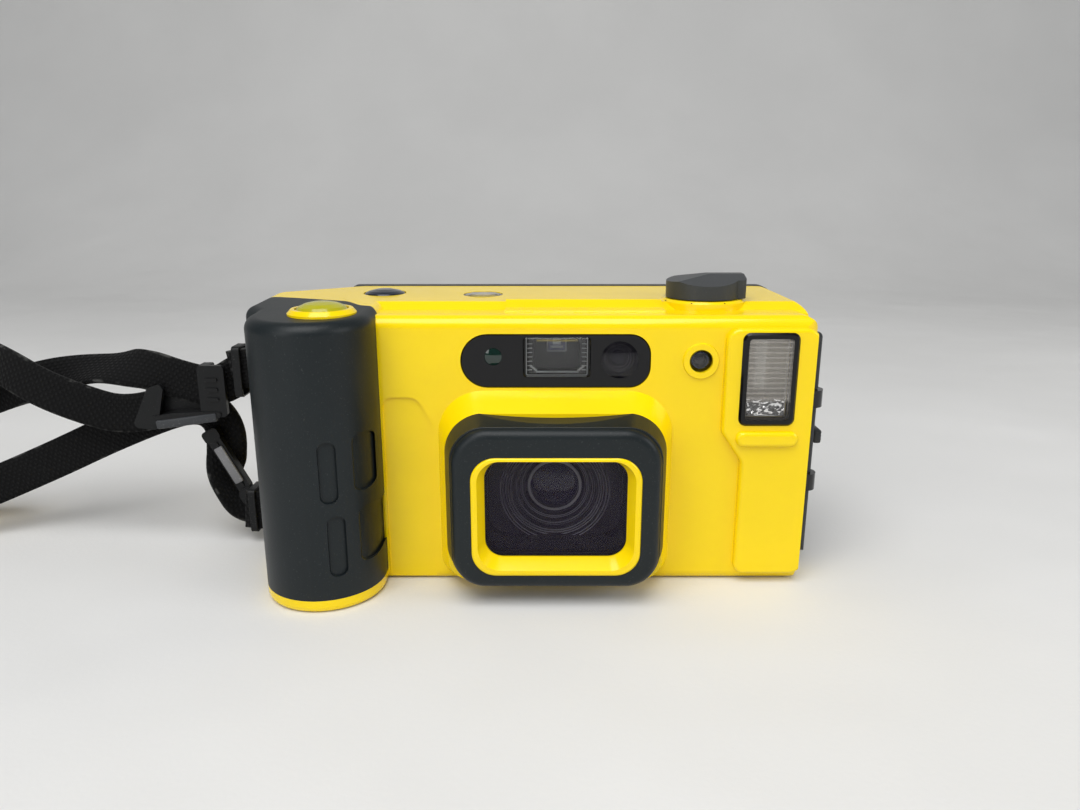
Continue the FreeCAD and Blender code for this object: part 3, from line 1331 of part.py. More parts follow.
def ladder_buckle():
    """Moulded buckle: a rail below the webbing, a bridge over it at each end and a plate behind it."""
    back = buckle_y + 1.1
    front = buckle_y - 1.1
    rail = [(-129.0, 40.6, 1.2), (-107.0, 43.4, 1.4), (-106.0, 45.5, 0.6), (-113.5, 45.6, 2), (-122.0, 45.2, 2),
            (-129.0, 44.0, 1.2)]
    rail = prism(rail, "xz", front - 2.2, back + 1.9)
    left = [(-135.4, 40.4, 1.6), (-127.5, 39.4, 1.4), (-124.2, 52.8, 0.8), (-125.2, 54.6, 0.8), (-129.3, 53.2, 1.6)]
    left = prism(left, "xz", front - 1.7, front)
    right = prism(rect(-112.8, -104.4, 43.8, 60.6, 1.5), "xz", front - 1.7, front)
    wall_top = prism(rect(-112.8, -109.2, 59.2, 60.6, 0.5), "xz", front - 1.0, back + 1.6)
    plate = [(-128.6, 44.2, 1), (-109.2, 44.6, 1), (-109.2, 60.6, 1), (-112.8, 60.6, 1), (-114.0, 56.0, 1),
             (-125.5, 53.0, 1), (-128.6, 50.0, 1)]
    plate = prism(plate, "xz", back, back + 1.6)
    buckle = rail.fuse([left, right, wall_top, plate])
    for i in range(3):
        z = 49.0 + 3.2 * i
        buckle = buckle.fuse(prism(rect(-110.6, -106.6, z, z + 1.2, 0.5), "xz", front - 2.2, front - 1.0))
    return buckle.removeSplitter()


def side_buckle():
    """Narrow adjuster bar in front of the lower stretch, with a rounded end."""
    low = V(-102.8, 0, 17.4)
    high = V(-111.7, 0, 34.9)
    along = high.sub(low).normalize()
    across = V(along.z, 0, -along.x)
    y = 4.8

    def slab(s0, s1, half, r, y0, y1):
        corners = []
        for s, h in ((s0, -half), (s0, half), (s1, half), (s1, -half)):
            p = low.add(V(along).multiply(s)).add(V(across).multiply(h))
            corners.append((p.x, p.z, r))
        return prism(corners, "xz", y0, y1)

    length = high.sub(low).Length
    bar = slab(0.0, length, 2.2, 0.8, y, y + 2.6)
    spine = slab(1.2, length - 1.2, 0.7, 0.3, y - 0.5, y + 0.5)
    end = slab(-5.4, 0.6, 3.0, 2.4, y - 0.4, y + 2.4)
    cap = slab(length - 0.6, length + 3.4, 2.8, 1.2, y - 0.2, y + 2.6)
    return bar.fuse([spine, end, cap]).removeSplitter()


NODES = {
    "front_shell": front_shell,
    "grip_sleeve": grip_sleeve,
    "lens_hood": lens_hood,
    "port_bezel": port_bezel,
    "port_pane": port_pane,
    "port_seal": port_seal,
    "lens_baffle": lens_baffle,
    "lens_barrel": lens_barrel,
    "lens_front_glass": lens_front_glass,
    "lens_rear_glass": lens_rear_glass,
    "shutter_leaves": shutter_leaves,
    "window_panel": window_panel,
    "finder_glass": finder_glass,
    "focus_lens": focus_lens,
    "timer_lamp": timer_lamp,
    "meter_window": meter_window,
    "flash_frame": flash_frame,
    "flash_lens": flash_lens,
    "flash_reflector": flash_reflector,
    "flash_tube": flash_tube,
    "flash_capacitor": flash_capacitor,
    "shutter_collar": shutter_collar,
    "shutter_button": shutter_button,
    "button_boot": button_boot,
    "timer_button": timer_button,
    "counter_window": counter_window,
    "counter_disc": counter_disc,
    "mode_dial": mode_dial,
    "dial_shaft": dial_shaft,
    "film_chassis": film_chassis,
    "take_up_spool": take_up_spool,
    "film_motor": film_motor,
    "sprocket": sprocket,
    "rewind_fork": rewind_fork,
    "finder_tube": finder_tube,
    "finder_lens": finder_lens,
    "circuit_board": circuit_board,
    "battery_cells": battery_cells,
    "battery_contacts": battery_contacts,
    "battery_cap": battery_cap,
    "cap_seal": cap_seal,
    "tripod_bush": tripod_bush,
    "case_screws": case_screws,
    "rear_door": rear_door,
    "door_seal": door_seal,
    "eyepiece_window": eyepiece_window,
    "film_window": film_window,
    "can_spring": can_spring,
    "pressure_plate": pressure_plate,
    "plate_spring": plate_spring,
    "hinge_pin": hinge_pin,
    "side_latch": side_latch,
    "latch_pin": latch_pin,
    "latch_lock": latch_lock,
    "strap_lugs": strap_lugs,
    "strap_webbing": strap_webbing,
    "strap_roll": strap_roll,
    "strap_float": strap_float,
    "ladder_buckle": ladder_buckle,
    "side_buckle": side_buckle,
}


def main():
    """Build every piece and write it to its own file."""
    os.makedirs("parts", exist_ok=True)
    for name, make in NODES.items():
        make().exportStep("parts/" + name + ".step")


main()
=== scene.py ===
"""Looks of a yellow waterproof film camera with a rubber grip and hood, and of its woven strap.

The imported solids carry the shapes. This file gives each of them its finish, lays the strap as woven webbing,
and adds the small parts: window steps, lens rings, flash prisms, the eyecup, the thumb rest and the tie round
the strap's roll. Lengths are millimetres in the forms, and metres in the strap's route, the studio and the
materials.
"""

import json
import logging
import math
from dataclasses import dataclass
from enum import Enum

import bmesh
import bpy
from mathutils import Matrix, Vector, noise


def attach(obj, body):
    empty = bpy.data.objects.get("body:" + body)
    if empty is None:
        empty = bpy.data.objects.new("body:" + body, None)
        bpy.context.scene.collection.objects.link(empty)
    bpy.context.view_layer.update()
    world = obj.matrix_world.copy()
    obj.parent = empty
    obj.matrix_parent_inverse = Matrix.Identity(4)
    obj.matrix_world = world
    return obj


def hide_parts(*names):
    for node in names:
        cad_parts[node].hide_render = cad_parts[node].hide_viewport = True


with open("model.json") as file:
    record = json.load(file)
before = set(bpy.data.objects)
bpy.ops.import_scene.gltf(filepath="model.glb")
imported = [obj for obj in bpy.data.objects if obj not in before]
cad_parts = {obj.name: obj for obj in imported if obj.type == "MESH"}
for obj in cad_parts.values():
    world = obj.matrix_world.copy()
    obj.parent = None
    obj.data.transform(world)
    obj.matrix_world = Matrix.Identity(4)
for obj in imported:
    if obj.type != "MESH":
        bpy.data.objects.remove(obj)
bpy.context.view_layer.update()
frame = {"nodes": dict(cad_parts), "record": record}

MM = 0.001
MASK_EDGE = 0.0001
CAMERA_RAY = 0
GLOSSY_RAY = 3
Pair = tuple[float, float]
Triple = tuple[float, float, float]
Colour = tuple[float, float, float]
Corners = tuple[Triple, Triple]
Region = tuple[Pair, Pair, Pair]
Route = list[tuple[Triple, Triple]]
log = logging.getLogger("film_camera")


class Axis(Enum):
    """Direction that a form is turned about or open along."""

    X = (1.0, 0.0, 0.0)
    Y = (0.0, 1.0, 0.0)
    Z = (0.0, 0.0, 1.0)


class Value:
    """A shader socket that takes part in arithmetic."""

    def __init__(self, shade: "Shade", socket: bpy.types.NodeSocket) -> None:
        """Keeps the socket with the tree it belongs to."""
        self.shade = shade
        self.socket = socket

    def maths(self, operation: str, *others: "Value | float") -> "Value":
        """Adds a Math node with this value as its first operand."""
        return self.shade.node("ShaderNodeMath", {"operation": operation}, dict(enumerate((self, *others))))

    def __add__(self, other: "Value | float") -> "Value":
        """Sum."""
        return self.maths("ADD", other)

    def __radd__(self, other: float) -> "Value":
        """Sum with a number on the left."""
        return self.maths("ADD", other)

    def __sub__(self, other: "Value | float") -> "Value":
        """Difference."""
        return self.maths("SUBTRACT", other)

    def __rsub__(self, other: float) -> "Value":
        """Difference from a number on the left."""
        return self.maths("MULTIPLY", -1.0).maths("ADD", other)

    def __mul__(self, other: "Value | float") -> "Value":
        """Product."""
        return self.maths("MULTIPLY", other)

    def __rmul__(self, other: float) -> "Value":
        """Product with a number on the left."""
        return self.maths("MULTIPLY", other)

    def wave(self) -> "Value":
        """Sine brought to the range from 0 to 1."""
        return self.maths("SINE") * 0.5 + 0.5

    def above(self, low: float, high: float) -> "Value":
        """Smooth mask: 0 below the first limit and 1 above the second."""
        settings = {"interpolation_type": "SMOOTHSTEP"}
        return self.shade.node("ShaderNodeMapRange", settings, {0: self, 1: low, 2: high})

    def within(self, low: float, high: float) -> "Value":
        """Mask that is 1 between two limits and falls to 0 just past them."""
        return self.above(low - MASK_EDGE, low) * (1.0 - self.above(high, high + MASK_EDGE))


class Shade:
    """The node tree of one material or of the world."""

    def __init__(self, tree: bpy.types.NodeTree) -> None:
        """Empties the tree."""
        self.tree = tree
        tree.nodes.clear()

    def node(self, kind: str, settings: dict | None = None, values: dict | None = None,
             out: int = 0) -> Value:
        """Adds any node.

        Args:
            kind: The node's type.
            settings: Its own settings, set first.
            values: Numbers, colours or sockets for its inputs, by name or number.
            out: The number of the output wanted.

        Returns:
            That output.
        """
        made = self.tree.nodes.new(kind)
        for key, value in (settings or {}).items():
            setattr(made, key, value)
        for key, value in (values or {}).items():
            if isinstance(value, Value):
                self.tree.links.new(value.socket, made.inputs[key])
            else:
                made.inputs[key].default_value = value
        return Value(self, made.outputs[out])

    def here(self) -> Value:
        """Object coordinates, in metres."""
        return self.node("ShaderNodeTexCoord", out=3)

    def parts(self, at: Value) -> list[Value]:
        """The three numbers of a place."""
        split = self.node("ShaderNodeSeparateXYZ", {}, {0: at})
        return [Value(self, socket) for socket in split.socket.node.outputs]

    def noise(self, at: Value, scale: float, detail: float = 3.0) -> Value:
        """Noise of a scale given per metre."""
        return self.node("ShaderNodeTexNoise", {}, {"Vector": at, "Scale": scale, "Detail": detail})

    def stretch(self, at: Value, scale: Triple) -> Value:
        """The same place with its axes scaled."""
        return self.node("ShaderNodeMapping", {}, {"Vector": at, "Scale": scale})

    def blend(self, share: Value, first: "Value | Colour", second: "Value | Colour") -> Value:
        """Mixes two colours or sockets; the share is how much of the second."""
        pair = [c if isinstance(c, Value) else (*c, 1.0) for c in (first, second)]
        return self.node("ShaderNodeMix", {"data_type": "RGBA"}, {0: share, 6: pair[0], 7: pair[1]}, out=2)

    def bump(self, height: Value, depth: float) -> Value:
        """Normal from a height, with its depth in metres."""
        return self.node("ShaderNodeBump", {}, {"Height": height, "Distance": depth, "Strength": 1.0})

    def surface(self, values: dict) -> None:
        """Ends the tree in one principled shader with these inputs."""
        self.end("ShaderNodeOutputMaterial", self.node("ShaderNodeBsdfPrincipled", {}, values))

    def end(self, kind: str, shader: Value) -> None:
        """Adds the output node and links the shader to it."""
        self.tree.links.new(shader.socket, self.tree.nodes.new(kind).inputs["Surface"])


class Finish:
    """What every finish can do: make a material, which its own paint method fills."""

    def make(self, name: str) -> bpy.types.Material:
        """Makes the material.

        Args:
            name: Its name.

        Returns:
            The material.
        """
        material = bpy.data.materials.new(name)
        material.use_nodes = True
        self.paint(Shade(material.node_tree))
        return material

    def paint(self, s: Shade) -> None:
        """Fills the material's tree; every kind of finish has its own."""
        raise NotImplementedError


def dimmed(colour: Colour, share: float) -> Colour:
    """The colour times a share."""
    return (colour[0] * share, colour[1] * share, colour[2] * share)


@dataclass(frozen=True)
class Moulded(Finish):
    """Moulded plastic or rubber with a fine grain, handling marks and a little dust."""

    colour: Colour
    roughness: float = 0.4
    coat: float = 0.0
    grain: float = 1800.0
    depth: float = 0.00001
    scuff: float = 0.12
    sheen: float = 0.0
    dust: float = 0.0
    shade: float = 0.9
    specular: float = 0.3
    marks: float = 38.0
    tooth: float = 0.06
    specks: float = 2400.0
    dust_colour: Colour = (0.42, 0.42, 0.40)

    def base(self, s: Shade, at: Value, smear: Value) -> Value:
        """The colour with its handling marks, before any dust."""
        return s.blend(smear.above(0.35, 0.68), dimmed(self.colour, self.shade), self.colour)

    def paint(self, s: Shade) -> None:
        """Fills the material's tree.

        Args:
            s: The tree.
        """
        at = s.here()
        smear = s.noise(at, self.marks, 4.0)
        fine = s.noise(at, self.grain, 2.0)
        base = self.base(s, at, smear)
        if self.dust:
            specks = s.noise(at, self.specks, 1.0).above(0.66, 0.76)
            base = s.blend(specks * self.dust, base, self.dust_colour)
        level = self.roughness - (self.scuff + self.tooth) / 2
        s.surface({
            "Base Color": base, "Roughness": smear * self.scuff + fine * self.tooth + level,
            "Normal": s.bump(fine, self.depth), "Coat Weight": self.coat, "Coat Roughness": 0.08,
            "Sheen Weight": self.sheen, "Specular IOR Level": self.specular,
        })


@dataclass(frozen=True)
class Shell(Moulded):
    """The shell's moulding, black at the latch's lugs, in the lens port and behind the windows."""

    lugs_from: float = 0.0745
    port: Region = ((-0.0236, 0.0236), (-0.041, -0.012), (0.009, 0.0462))
    windows: Region = ((-0.0272, 0.0272), (-0.0249, 0.0), (0.0596, 0.0755))
    black: Colour = (0.012, 0.012, 0.014)

    def base(self, s: Shade, at: Value, smear: Value) -> Value:
        """The shell's colour with its black places.

        Args:
            s: The material's tree.
            at: The place on the shell.
            smear: Where it was handled.

        Returns:
            The colour.
        """
        axes = s.parts(at)
        dark = axes[0].above(self.lugs_from, self.lugs_from + MASK_EDGE)
        for region in (self.port, self.windows):
            x, y, z = (axis.within(*span) for axis, span in zip(axes, region))
            dark = dark.maths("MAXIMUM", x * y * z)
        return s.blend(dark, super().base(s, at, smear), self.black)


@dataclass(frozen=True)
class Clear(Finish):
    """Clear window material that bends light."""

    tint: Colour
    roughness: float = 0.01
    ior: float = 1.4
    coat: float = 0.1
    film: float = 90.0

    def paint(self, s: Shade) -> None:
        """Fills the material's tree.

        Args:
            s: The tree.
        """
        film = s.noise(s.here(), self.film, 3.0)
        s.surface({
            "Base Color": s.blend(film.above(0.3, 0.8), dimmed(self.tint, 0.95), self.tint),
            "Roughness": film * 0.03 + self.roughness, "Transmission Weight": 1.0, "IOR": self.ior,
            "Coat Weight": self.coat,
        })


@dataclass(frozen=True)
class Film(Finish):
    """Thin tinted pane or coated lens: a glossy face that lets part of the light straight through."""

    tint: Colour
    alpha: float
    coat: float = 0.3
    bare_below: float = 0.0
    bare_alpha: float = 0.04
    bare_edge: float = 0.0003
    film: float = 60.0

    def paint(self, s: Shade) -> None:
        """Fills the material's tree; below the height bare_below the pane has next to no tint.

        Args:
            s: The tree.
        """
        film = s.noise(s.here(), self.film, 3.0)
        alpha: Value | float = self.alpha
        if self.bare_below:
            tinted = s.parts(s.here())[2].above(self.bare_below - self.bare_edge, self.bare_below)
            alpha = tinted * (self.alpha - self.bare_alpha) + self.bare_alpha
        s.surface({
            "Base Color": s.blend(film.above(0.3, 0.8), dimmed(self.tint, 0.85), self.tint),
            "Roughness": film * 0.03 + 0.01, "Alpha": alpha, "Coat Weight": self.coat,
            "Coat Roughness": 0.0, "Specular IOR Level": 0.4,
        })


@dataclass(frozen=True)
class Metal(Finish):
    """Drawn or turned metal with fine lines along its length."""

    colour: Colour
    roughness: float = 0.3
    lines: Triple = (1.0, 1.0, 0.04)
    fine: float = 2600.0
    stains: float = 120.0
    depth: float = 0.000008

    def paint(self, s: Shade) -> None:
        """Fills the material's tree.

        Args:
            s: The tree.
        """
        at = s.here()
        line = s.noise(s.stretch(at, self.lines), self.fine, 2.0)
        stain = s.noise(at, self.stains, 3.0)
        s.surface({
            "Base Color": s.blend(stain.above(0.4, 0.8), self.colour, dimmed(self.colour, 0.82)),
            "Roughness": line * 0.2 + (self.roughness - 0.1), "Metallic": 1.0,
            "Normal": s.bump(line, self.depth),
        })


@dataclass(frozen=True)
class Webbing(Finish):
    """Woven tape: crossing yarns with painted shade in their hollows, a firm selvedge and a little fray."""

    colour: Colour
    yarn: float = 0.0012
    width: float = 0.0126
    depth: float = 0.0003
    frayed: Colour = (0.16, 0.16, 0.15)

    def paint(self, s: Shade) -> None:
        """Fills the material's tree; it reads the piece's own map, across and along in metres.

        Args:
            s: The tree.
        """
        across, along, _ = s.parts(s.node("ShaderNodeUVMap", {"uv_map": "weave"}))
        turn = 2.0 * math.pi
        warp = across * (turn / (2 * self.yarn))
        weft = along * (turn / (1.6 * self.yarn))
        crossing = (warp + weft).wave() * (warp - weft).wave()
        ribs = (across * (turn / self.yarn)).wave()
        height = crossing * 0.75 + ribs * 0.25
        fuzz = s.noise(s.here(), 1500.0, 3.0)
        # Where the weave is low its colour is painted down to 35 %: painted shade between the yarns.
        painted_weave_shade = (height * 0.8 + fuzz * 0.3).above(0.45, 0.95)
        base = s.blend(painted_weave_shade, dimmed(self.colour, 0.35), self.colour)
        rim = (across - self.width / 2).maths("ABSOLUTE").above(self.width * 0.44, self.width * 0.5)
        worn = rim * s.noise(s.here(), 260.0, 2.0).above(0.5, 0.66)
        s.surface({
            "Base Color": s.blend(worn * 0.35, base, self.frayed), "Roughness": fuzz * 0.15 + 0.72,
            "Normal": s.bump(height + fuzz * 0.3, self.depth), "Sheen Weight": 0.04,
            "Sheen Roughness": 0.5, "Specular IOR Level": 0.14,
        })


@dataclass(frozen=True)
class Cloth(Finish):
    """Pale plain cloth of the floor and the wall behind it, painted darker in its folds' hollows as shade."""

    colour: Colour
    fold: float = 5.0
    weave: float = 700.0
    depth: float = 0.0011

    def paint(self, s: Shade) -> None:
        """Fills the material's tree.

        Args:
            s: The tree.
        """
        at = s.here()
        folds = s.noise(at, self.fold, 3.0)
        weave = s.noise(at, self.weave, 2.0)
        # The colour is 5 % darker where the folds' height is low: painted shade in their hollows.
        s.surface({
            "Base Color": s.blend(folds.above(0.3, 0.7), dimmed(self.colour, 0.95), self.colour),
            "Roughness": weave * 0.05 + 0.85, "Normal": s.bump(folds * 8.0 + weave * 0.05, self.depth),
        })


YELLOW = (0.97, 0.695, 0.002)
GLOSSY = {"roughness": 0.20, "coat": 0.2, "grain": 900.0, "depth": 0.000006, "scuff": 0.10, "shade": 0.96}
FINISHES = {
    "yellow_shell": Moulded(YELLOW, **GLOSSY),
    "lugged_shell": Shell(YELLOW, **GLOSSY),
    "button_olive": Moulded((0.46, 0.43, 0.01), roughness=0.24, coat=0.4, grain=900.0, depth=0.000004),
    "rubber_dark": Moulded((0.010, 0.0145, 0.0165), roughness=0.42, grain=2600.0, depth=0.00002, dust=0.05),
    "door_dark": Moulded((0.030, 0.033, 0.036), roughness=0.46, grain=1500.0, depth=0.00005, dust=0.08),
    "dial_dark": Moulded((0.045, 0.049, 0.052), roughness=0.38, grain=2200.0, dust=0.06),
    "black_plastic": Moulded((0.010, 0.010, 0.011), roughness=0.42, grain=2000.0),
    "lens_black": Moulded((0.010, 0.009, 0.014), roughness=0.32, grain=3000.0, depth=0.000004),
    # Pale grey on rings and rims that are black plastic: painted highlight where their edges catch the light.
    "ring_grey": Moulded((0.34, 0.34, 0.38), roughness=0.22, coat=0.3, grain=3000.0, depth=0.000002,
                         specular=0.6),
    "panel_black": Moulded((0.004, 0.004, 0.005), roughness=0.12, grain=600.0, depth=0.000002, scuff=0.05),
    "clear_glass": Clear((0.94, 0.96, 0.97)),
    "frosted": Moulded((0.36, 0.37, 0.38), roughness=0.3, grain=2600.0, depth=0.00002, specular=0.6),
    "finder_violet": Moulded((0.11, 0.11, 0.25), roughness=0.16, coat=0.6, grain=900.0, depth=0.000002),
    # Pale panes in the finder's middle: painted highlight on the dark finder glass.
    "finder_pale": Moulded((0.84, 0.84, 0.90), roughness=0.2, coat=0.5, grain=900.0, depth=0.000002,
                           shade=0.8),
    "dark_pane": Film((0.020, 0.014, 0.034), alpha=0.24, coat=0.1),
    "lens_glass": Film((0.034, 0.032, 0.072), alpha=0.8, coat=0.8),
    "lamp_glass": Film((0.003, 0.020, 0.014), alpha=1.0, coat=0.8),
    "focus_glass": Film((0.006, 0.005, 0.010), alpha=0.4, coat=0.8),
    "flash_cover": Film((0.52, 0.49, 0.45), alpha=0.22, coat=0.2, bare_below=0.0566),
    "seal_rubber": Moulded((0.014, 0.014, 0.015), roughness=0.55, grain=2600.0),
    "chrome_trough": Metal((0.70, 0.67, 0.62), roughness=0.36, lines=(1.0, 1.0, 0.3)),
    "bright_foil": Metal((0.92, 0.92, 0.92), roughness=0.14, lines=(1.0, 1.0, 1.0)),
    "steel": Metal((0.60, 0.60, 0.61), roughness=0.32),
    "brass": Metal((0.76, 0.60, 0.28), roughness=0.34),
    "navy_plastic": Moulded((0.010, 0.016, 0.030), roughness=0.2, coat=0.4, grain=1200.0, depth=0.000004),
    "board_green": Moulded((0.02, 0.13, 0.06), roughness=0.35, grain=500.0, depth=0.00003, shade=0.6),
    "cell_wrap": Moulded((0.09, 0.11, 0.13), roughness=0.28, coat=0.2),
    "can_sleeve": Moulded((0.03, 0.03, 0.05), roughness=0.3, coat=0.2),
    "counter_white": Moulded((0.74, 0.74, 0.72), roughness=0.5, shade=0.96),
    "webbing": Webbing((0.009, 0.009, 0.0095)),
    "float_yellow": Moulded((0.90, 0.60, 0.02), roughness=0.6, grain=1400.0, depth=0.00012, scuff=0.06),
    "tie_black": Moulded((0.020, 0.020, 0.020), roughness=0.85, grain=1400.0, depth=0.00012, sheen=0.3),
    "buckle_black": Moulded((0.010, 0.0105, 0.011), roughness=0.36, dust=0.08, specular=0.2),
    "rail_grey": Moulded((0.045, 0.048, 0.052), roughness=0.36, grain=1500.0, dust=0.2),
    # Grey with dense pale specks, set on the lower clip's black bar: painted highlight where its edge catches
    # the light.
    "bar_grey": Moulded((0.20, 0.20, 0.205), roughness=0.42, grain=1200.0, depth=0.00004, dust=0.85),
    "floor_cloth": Cloth((0.72, 0.715, 0.70)),
}
SPECIAL = {
    "front_shell": "lugged_shell",
    "shutter_button": "button_olive",
    "mode_dial": "dial_dark",
    "lens_baffle": "lens_black",
    "lens_barrel": "lens_black",
    "timer_lamp": "lamp_glass",
    "focus_lens": "focus_glass",
    "flash_lens": "flash_cover",
}


class Wardrobe:
    """Makes each finish once and dresses objects with it."""

    def __init__(self) -> None:
        """Starts with nothing made."""
        self.made: dict[str, bpy.types.Material] = {}

    def get(self, name: str) -> bpy.types.Material:
        """Gives a finish's material, made at its first use.

        Args:
            name: The finish's name.

        Returns:
            The material.
        """
        if name not in self.made:
            self.made[name] = FINISHES[name].make(name)
        return self.made[name]

    def dress_solids(self) -> None:
        """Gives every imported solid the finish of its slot, or its own where it has one."""
        for part in frame["record"]["subparts"]:
            node = part["node"]
            piece = frame["nodes"][node]
            finish = self.get(SPECIAL.get(node, part["material_slot"]))
            if not piece.material_slots:
                piece.data.materials.append(finish)
            for place in piece.material_slots:
                place.material = finish
            log.info("dressed %s in %s", node, finish.name)


def moved(corners: Corners, by: Triple) -> list[Triple]:
    """Two corners moved by the same distances."""
    return [(corner[0] + by[0], corner[1] + by[1], corner[2] + by[2]) for corner in corners]


def behind(profile: tuple[Pair, ...], y: float) -> list[Pair]:
    """A turned part's profile, with its places along the axis counted from y."""
    return [(radius, y + back) for radius, back in profile]


def round_edges(part: bmesh.types.BMesh, edges: list, width: float, segments: int) -> None:
    """Bevels edges to a round profile."""
    bmesh.ops.bevel(part, geom=edges, offset=width, offset_type="OFFSET", segments=segments, profile=0.5,
                    affect="EDGES", material=-1)


def show(name: str, part: bmesh.types.BMesh, finish: bpy.types.Material) -> bpy.types.Object:
    """Turns a bmesh into a smooth, dressed object, and frees the bmesh.

    Args:
        name: The object's name.
        part: The bmesh.
        finish: Its material.

    Returns:
        The object, linked into the scene.
    """
    mesh = bpy.data.meshes.new(name)
    part.to_mesh(mesh)
    part.free()
    mesh.polygons.foreach_set("use_smooth", [True] * len(mesh.polygons))
    mesh.materials.append(finish)
    piece = bpy.data.objects.new(name, mesh)
    bpy.context.scene.collection.objects.link(piece)
    return piece


class Form:
    """A mesh in millimetres that bmesh operators build up."""

    def __init__(self) -> None:
        """Starts empty."""
        self.mesh = bmesh.new()

    def take(self, part: bmesh.types.BMesh) -> "Form":
        """Adds a finished part and frees it.

        Args:
            part: The part.

        Returns:
            The form.
        """
        bmesh.ops.recalc_face_normals(part, faces=part.faces)
        held = bpy.data.meshes.new("held")
        part.to_mesh(held)
        part.free()
        self.mesh.from_mesh(held)
        bpy.data.meshes.remove(held)
        return self

    @staticmethod
    def cube(low: Triple, high: Triple) -> bmesh.types.BMesh:
        """Makes a plain block.

        Args:
            low: Its lowest corner.
            high: Its highest corner.

        Returns:
            The block.
        """
        part = bmesh.new()
        bmesh.ops.create_cube(part, size=1.0)
        bmesh.ops.scale(part, vec=Vector(high) - Vector(low), verts=part.verts)
        bmesh.ops.translate(part, vec=(Vector(high) + Vector(low)) / 2, verts=part.verts)
        return part

    def block(self, low: Triple, high: Triple, edge: float = 0.2, turn: float = 0.0,
              axis: Axis = Axis.Y) -> "Form":
        """Adds a block with bevelled edges.

        Args:
            low: Its lowest corner.
            high: Its highest corner.
            edge: The bevel's width.
            turn: Degrees that it is turned about its middle.
            axis: What it is turned about.

        Returns:
            The form.
        """
        part = self.cube(low, high)
        round_edges(part, part.edges[:], edge, 2)
        spin = Matrix.Rotation(math.radians(turn), 3, Vector(axis.value))
        bmesh.ops.rotate(part, cent=(Vector(high) + Vector(low)) / 2, matrix=spin, verts=part.verts)
        return self.take(part)

    def turned(self, profile: list[Pair], centre: Triple, steps: int = 64) -> "Form":
        """Adds a part turned about a line along Y.

        Args:
            profile: Corners as (radius, place along Y); one that starts on the axis also ends there.
            centre: A point on the axis.
            steps: How many steps round it.

        Returns:
            The form.
        """
        part = bmesh.new()
        corners = [part.verts.new((centre[0] + r, along, centre[2])) for r, along in profile]
        pairs = list(zip(corners, corners[1:]))
        if profile[0][0] > 0:
            pairs.append((corners[-1], corners[0]))
        edges = [part.edges.new(pair) for pair in pairs]
        bmesh.ops.spin(part, geom=corners + edges, cent=centre, axis=Axis.Y.value, angle=2 * math.pi,
                       steps=steps, use_merge=True)
        bmesh.ops.remove_doubles(part, verts=part.verts, dist=0.0005)
        return self.take(part)

    def frame(self, low: Triple, high: Triple, axis: Axis, corner: float, rim: float) -> "Form":
        """Adds a rounded rectangular frame.

        Args:
            low: Its lowest corner.
            high: Its highest corner.
            axis: The direction that it is open along.
            corner: The radius of its outer corners.
            rim: The width of its rim.

        Returns:
            The form.
        """
        part = self.cube(low, high)
        along = Vector(axis.value)
        sides = [e for e in part.edges if abs((e.verts[1].co - e.verts[0].co).normalized().dot(along)) > 0.9]
        round_edges(part, sides, corner, 5 + round(corner))
        part.normal_update()
        caps = [f for f in part.faces if abs(f.normal.dot(along)) > 0.9]
        bmesh.ops.inset_individual(part, faces=caps, thickness=rim, depth=0.0, use_even_offset=True)
        loops = list({e for f in caps for e in f.edges})
        bmesh.ops.delete(part, geom=caps, context="FACES_ONLY")
        bmesh.ops.bridge_loops(part, edges=loops)
        return self.take(part)

    def place(self, name: str, finish: bpy.types.Material, body: str, slot: str,
              edge: float = 0.0) -> bpy.types.Object:
        """Scales the form to metres and hangs it on a body.

        Args:
            name: The piece's name.
            finish: Its material.
            body: The body that it rides on.
            slot: The record's material slot; not used.
            edge: The width of a bevel on its sharp edges, in millimetres.

        Returns:
            The piece.
        """
        bmesh.ops.scale(self.mesh, vec=(MM, MM, MM), verts=self.mesh.verts)
        piece = show(name, self.mesh, finish)
        piece.data.set_sharp_from_angle(angle=math.radians(35))
        if edge:
            bevel = piece.modifiers.new("edge", "BEVEL")
            bevel.width = edge * MM
            bevel.segments = 2
            bevel.limit_method = "ANGLE"
        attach(piece, body)
        log.info("made %s: %d faces on %s", name, len(piece.data.polygons), body)
        return piece


@dataclass(frozen=True)
class Lamp:
    """A square soft lamp: its place, what it points at, its side in metres and its power in watts."""

    name: str
    at: Triple
    to: Triple
    side: float
    power: float

    def build(self) -> None:
        """Adds the lamp to the scene."""
        data = bpy.data.lights.new(self.name, "AREA")
        data.energy = self.power
        data.size = self.side
        lamp = bpy.data.objects.new(self.name, data)
        lamp.location = self.at
        lamp.rotation_euler = (Vector(self.to) - Vector(self.at)).to_track_quat("-Z", "Y").to_euler()
        bpy.context.scene.collection.objects.link(lamp)


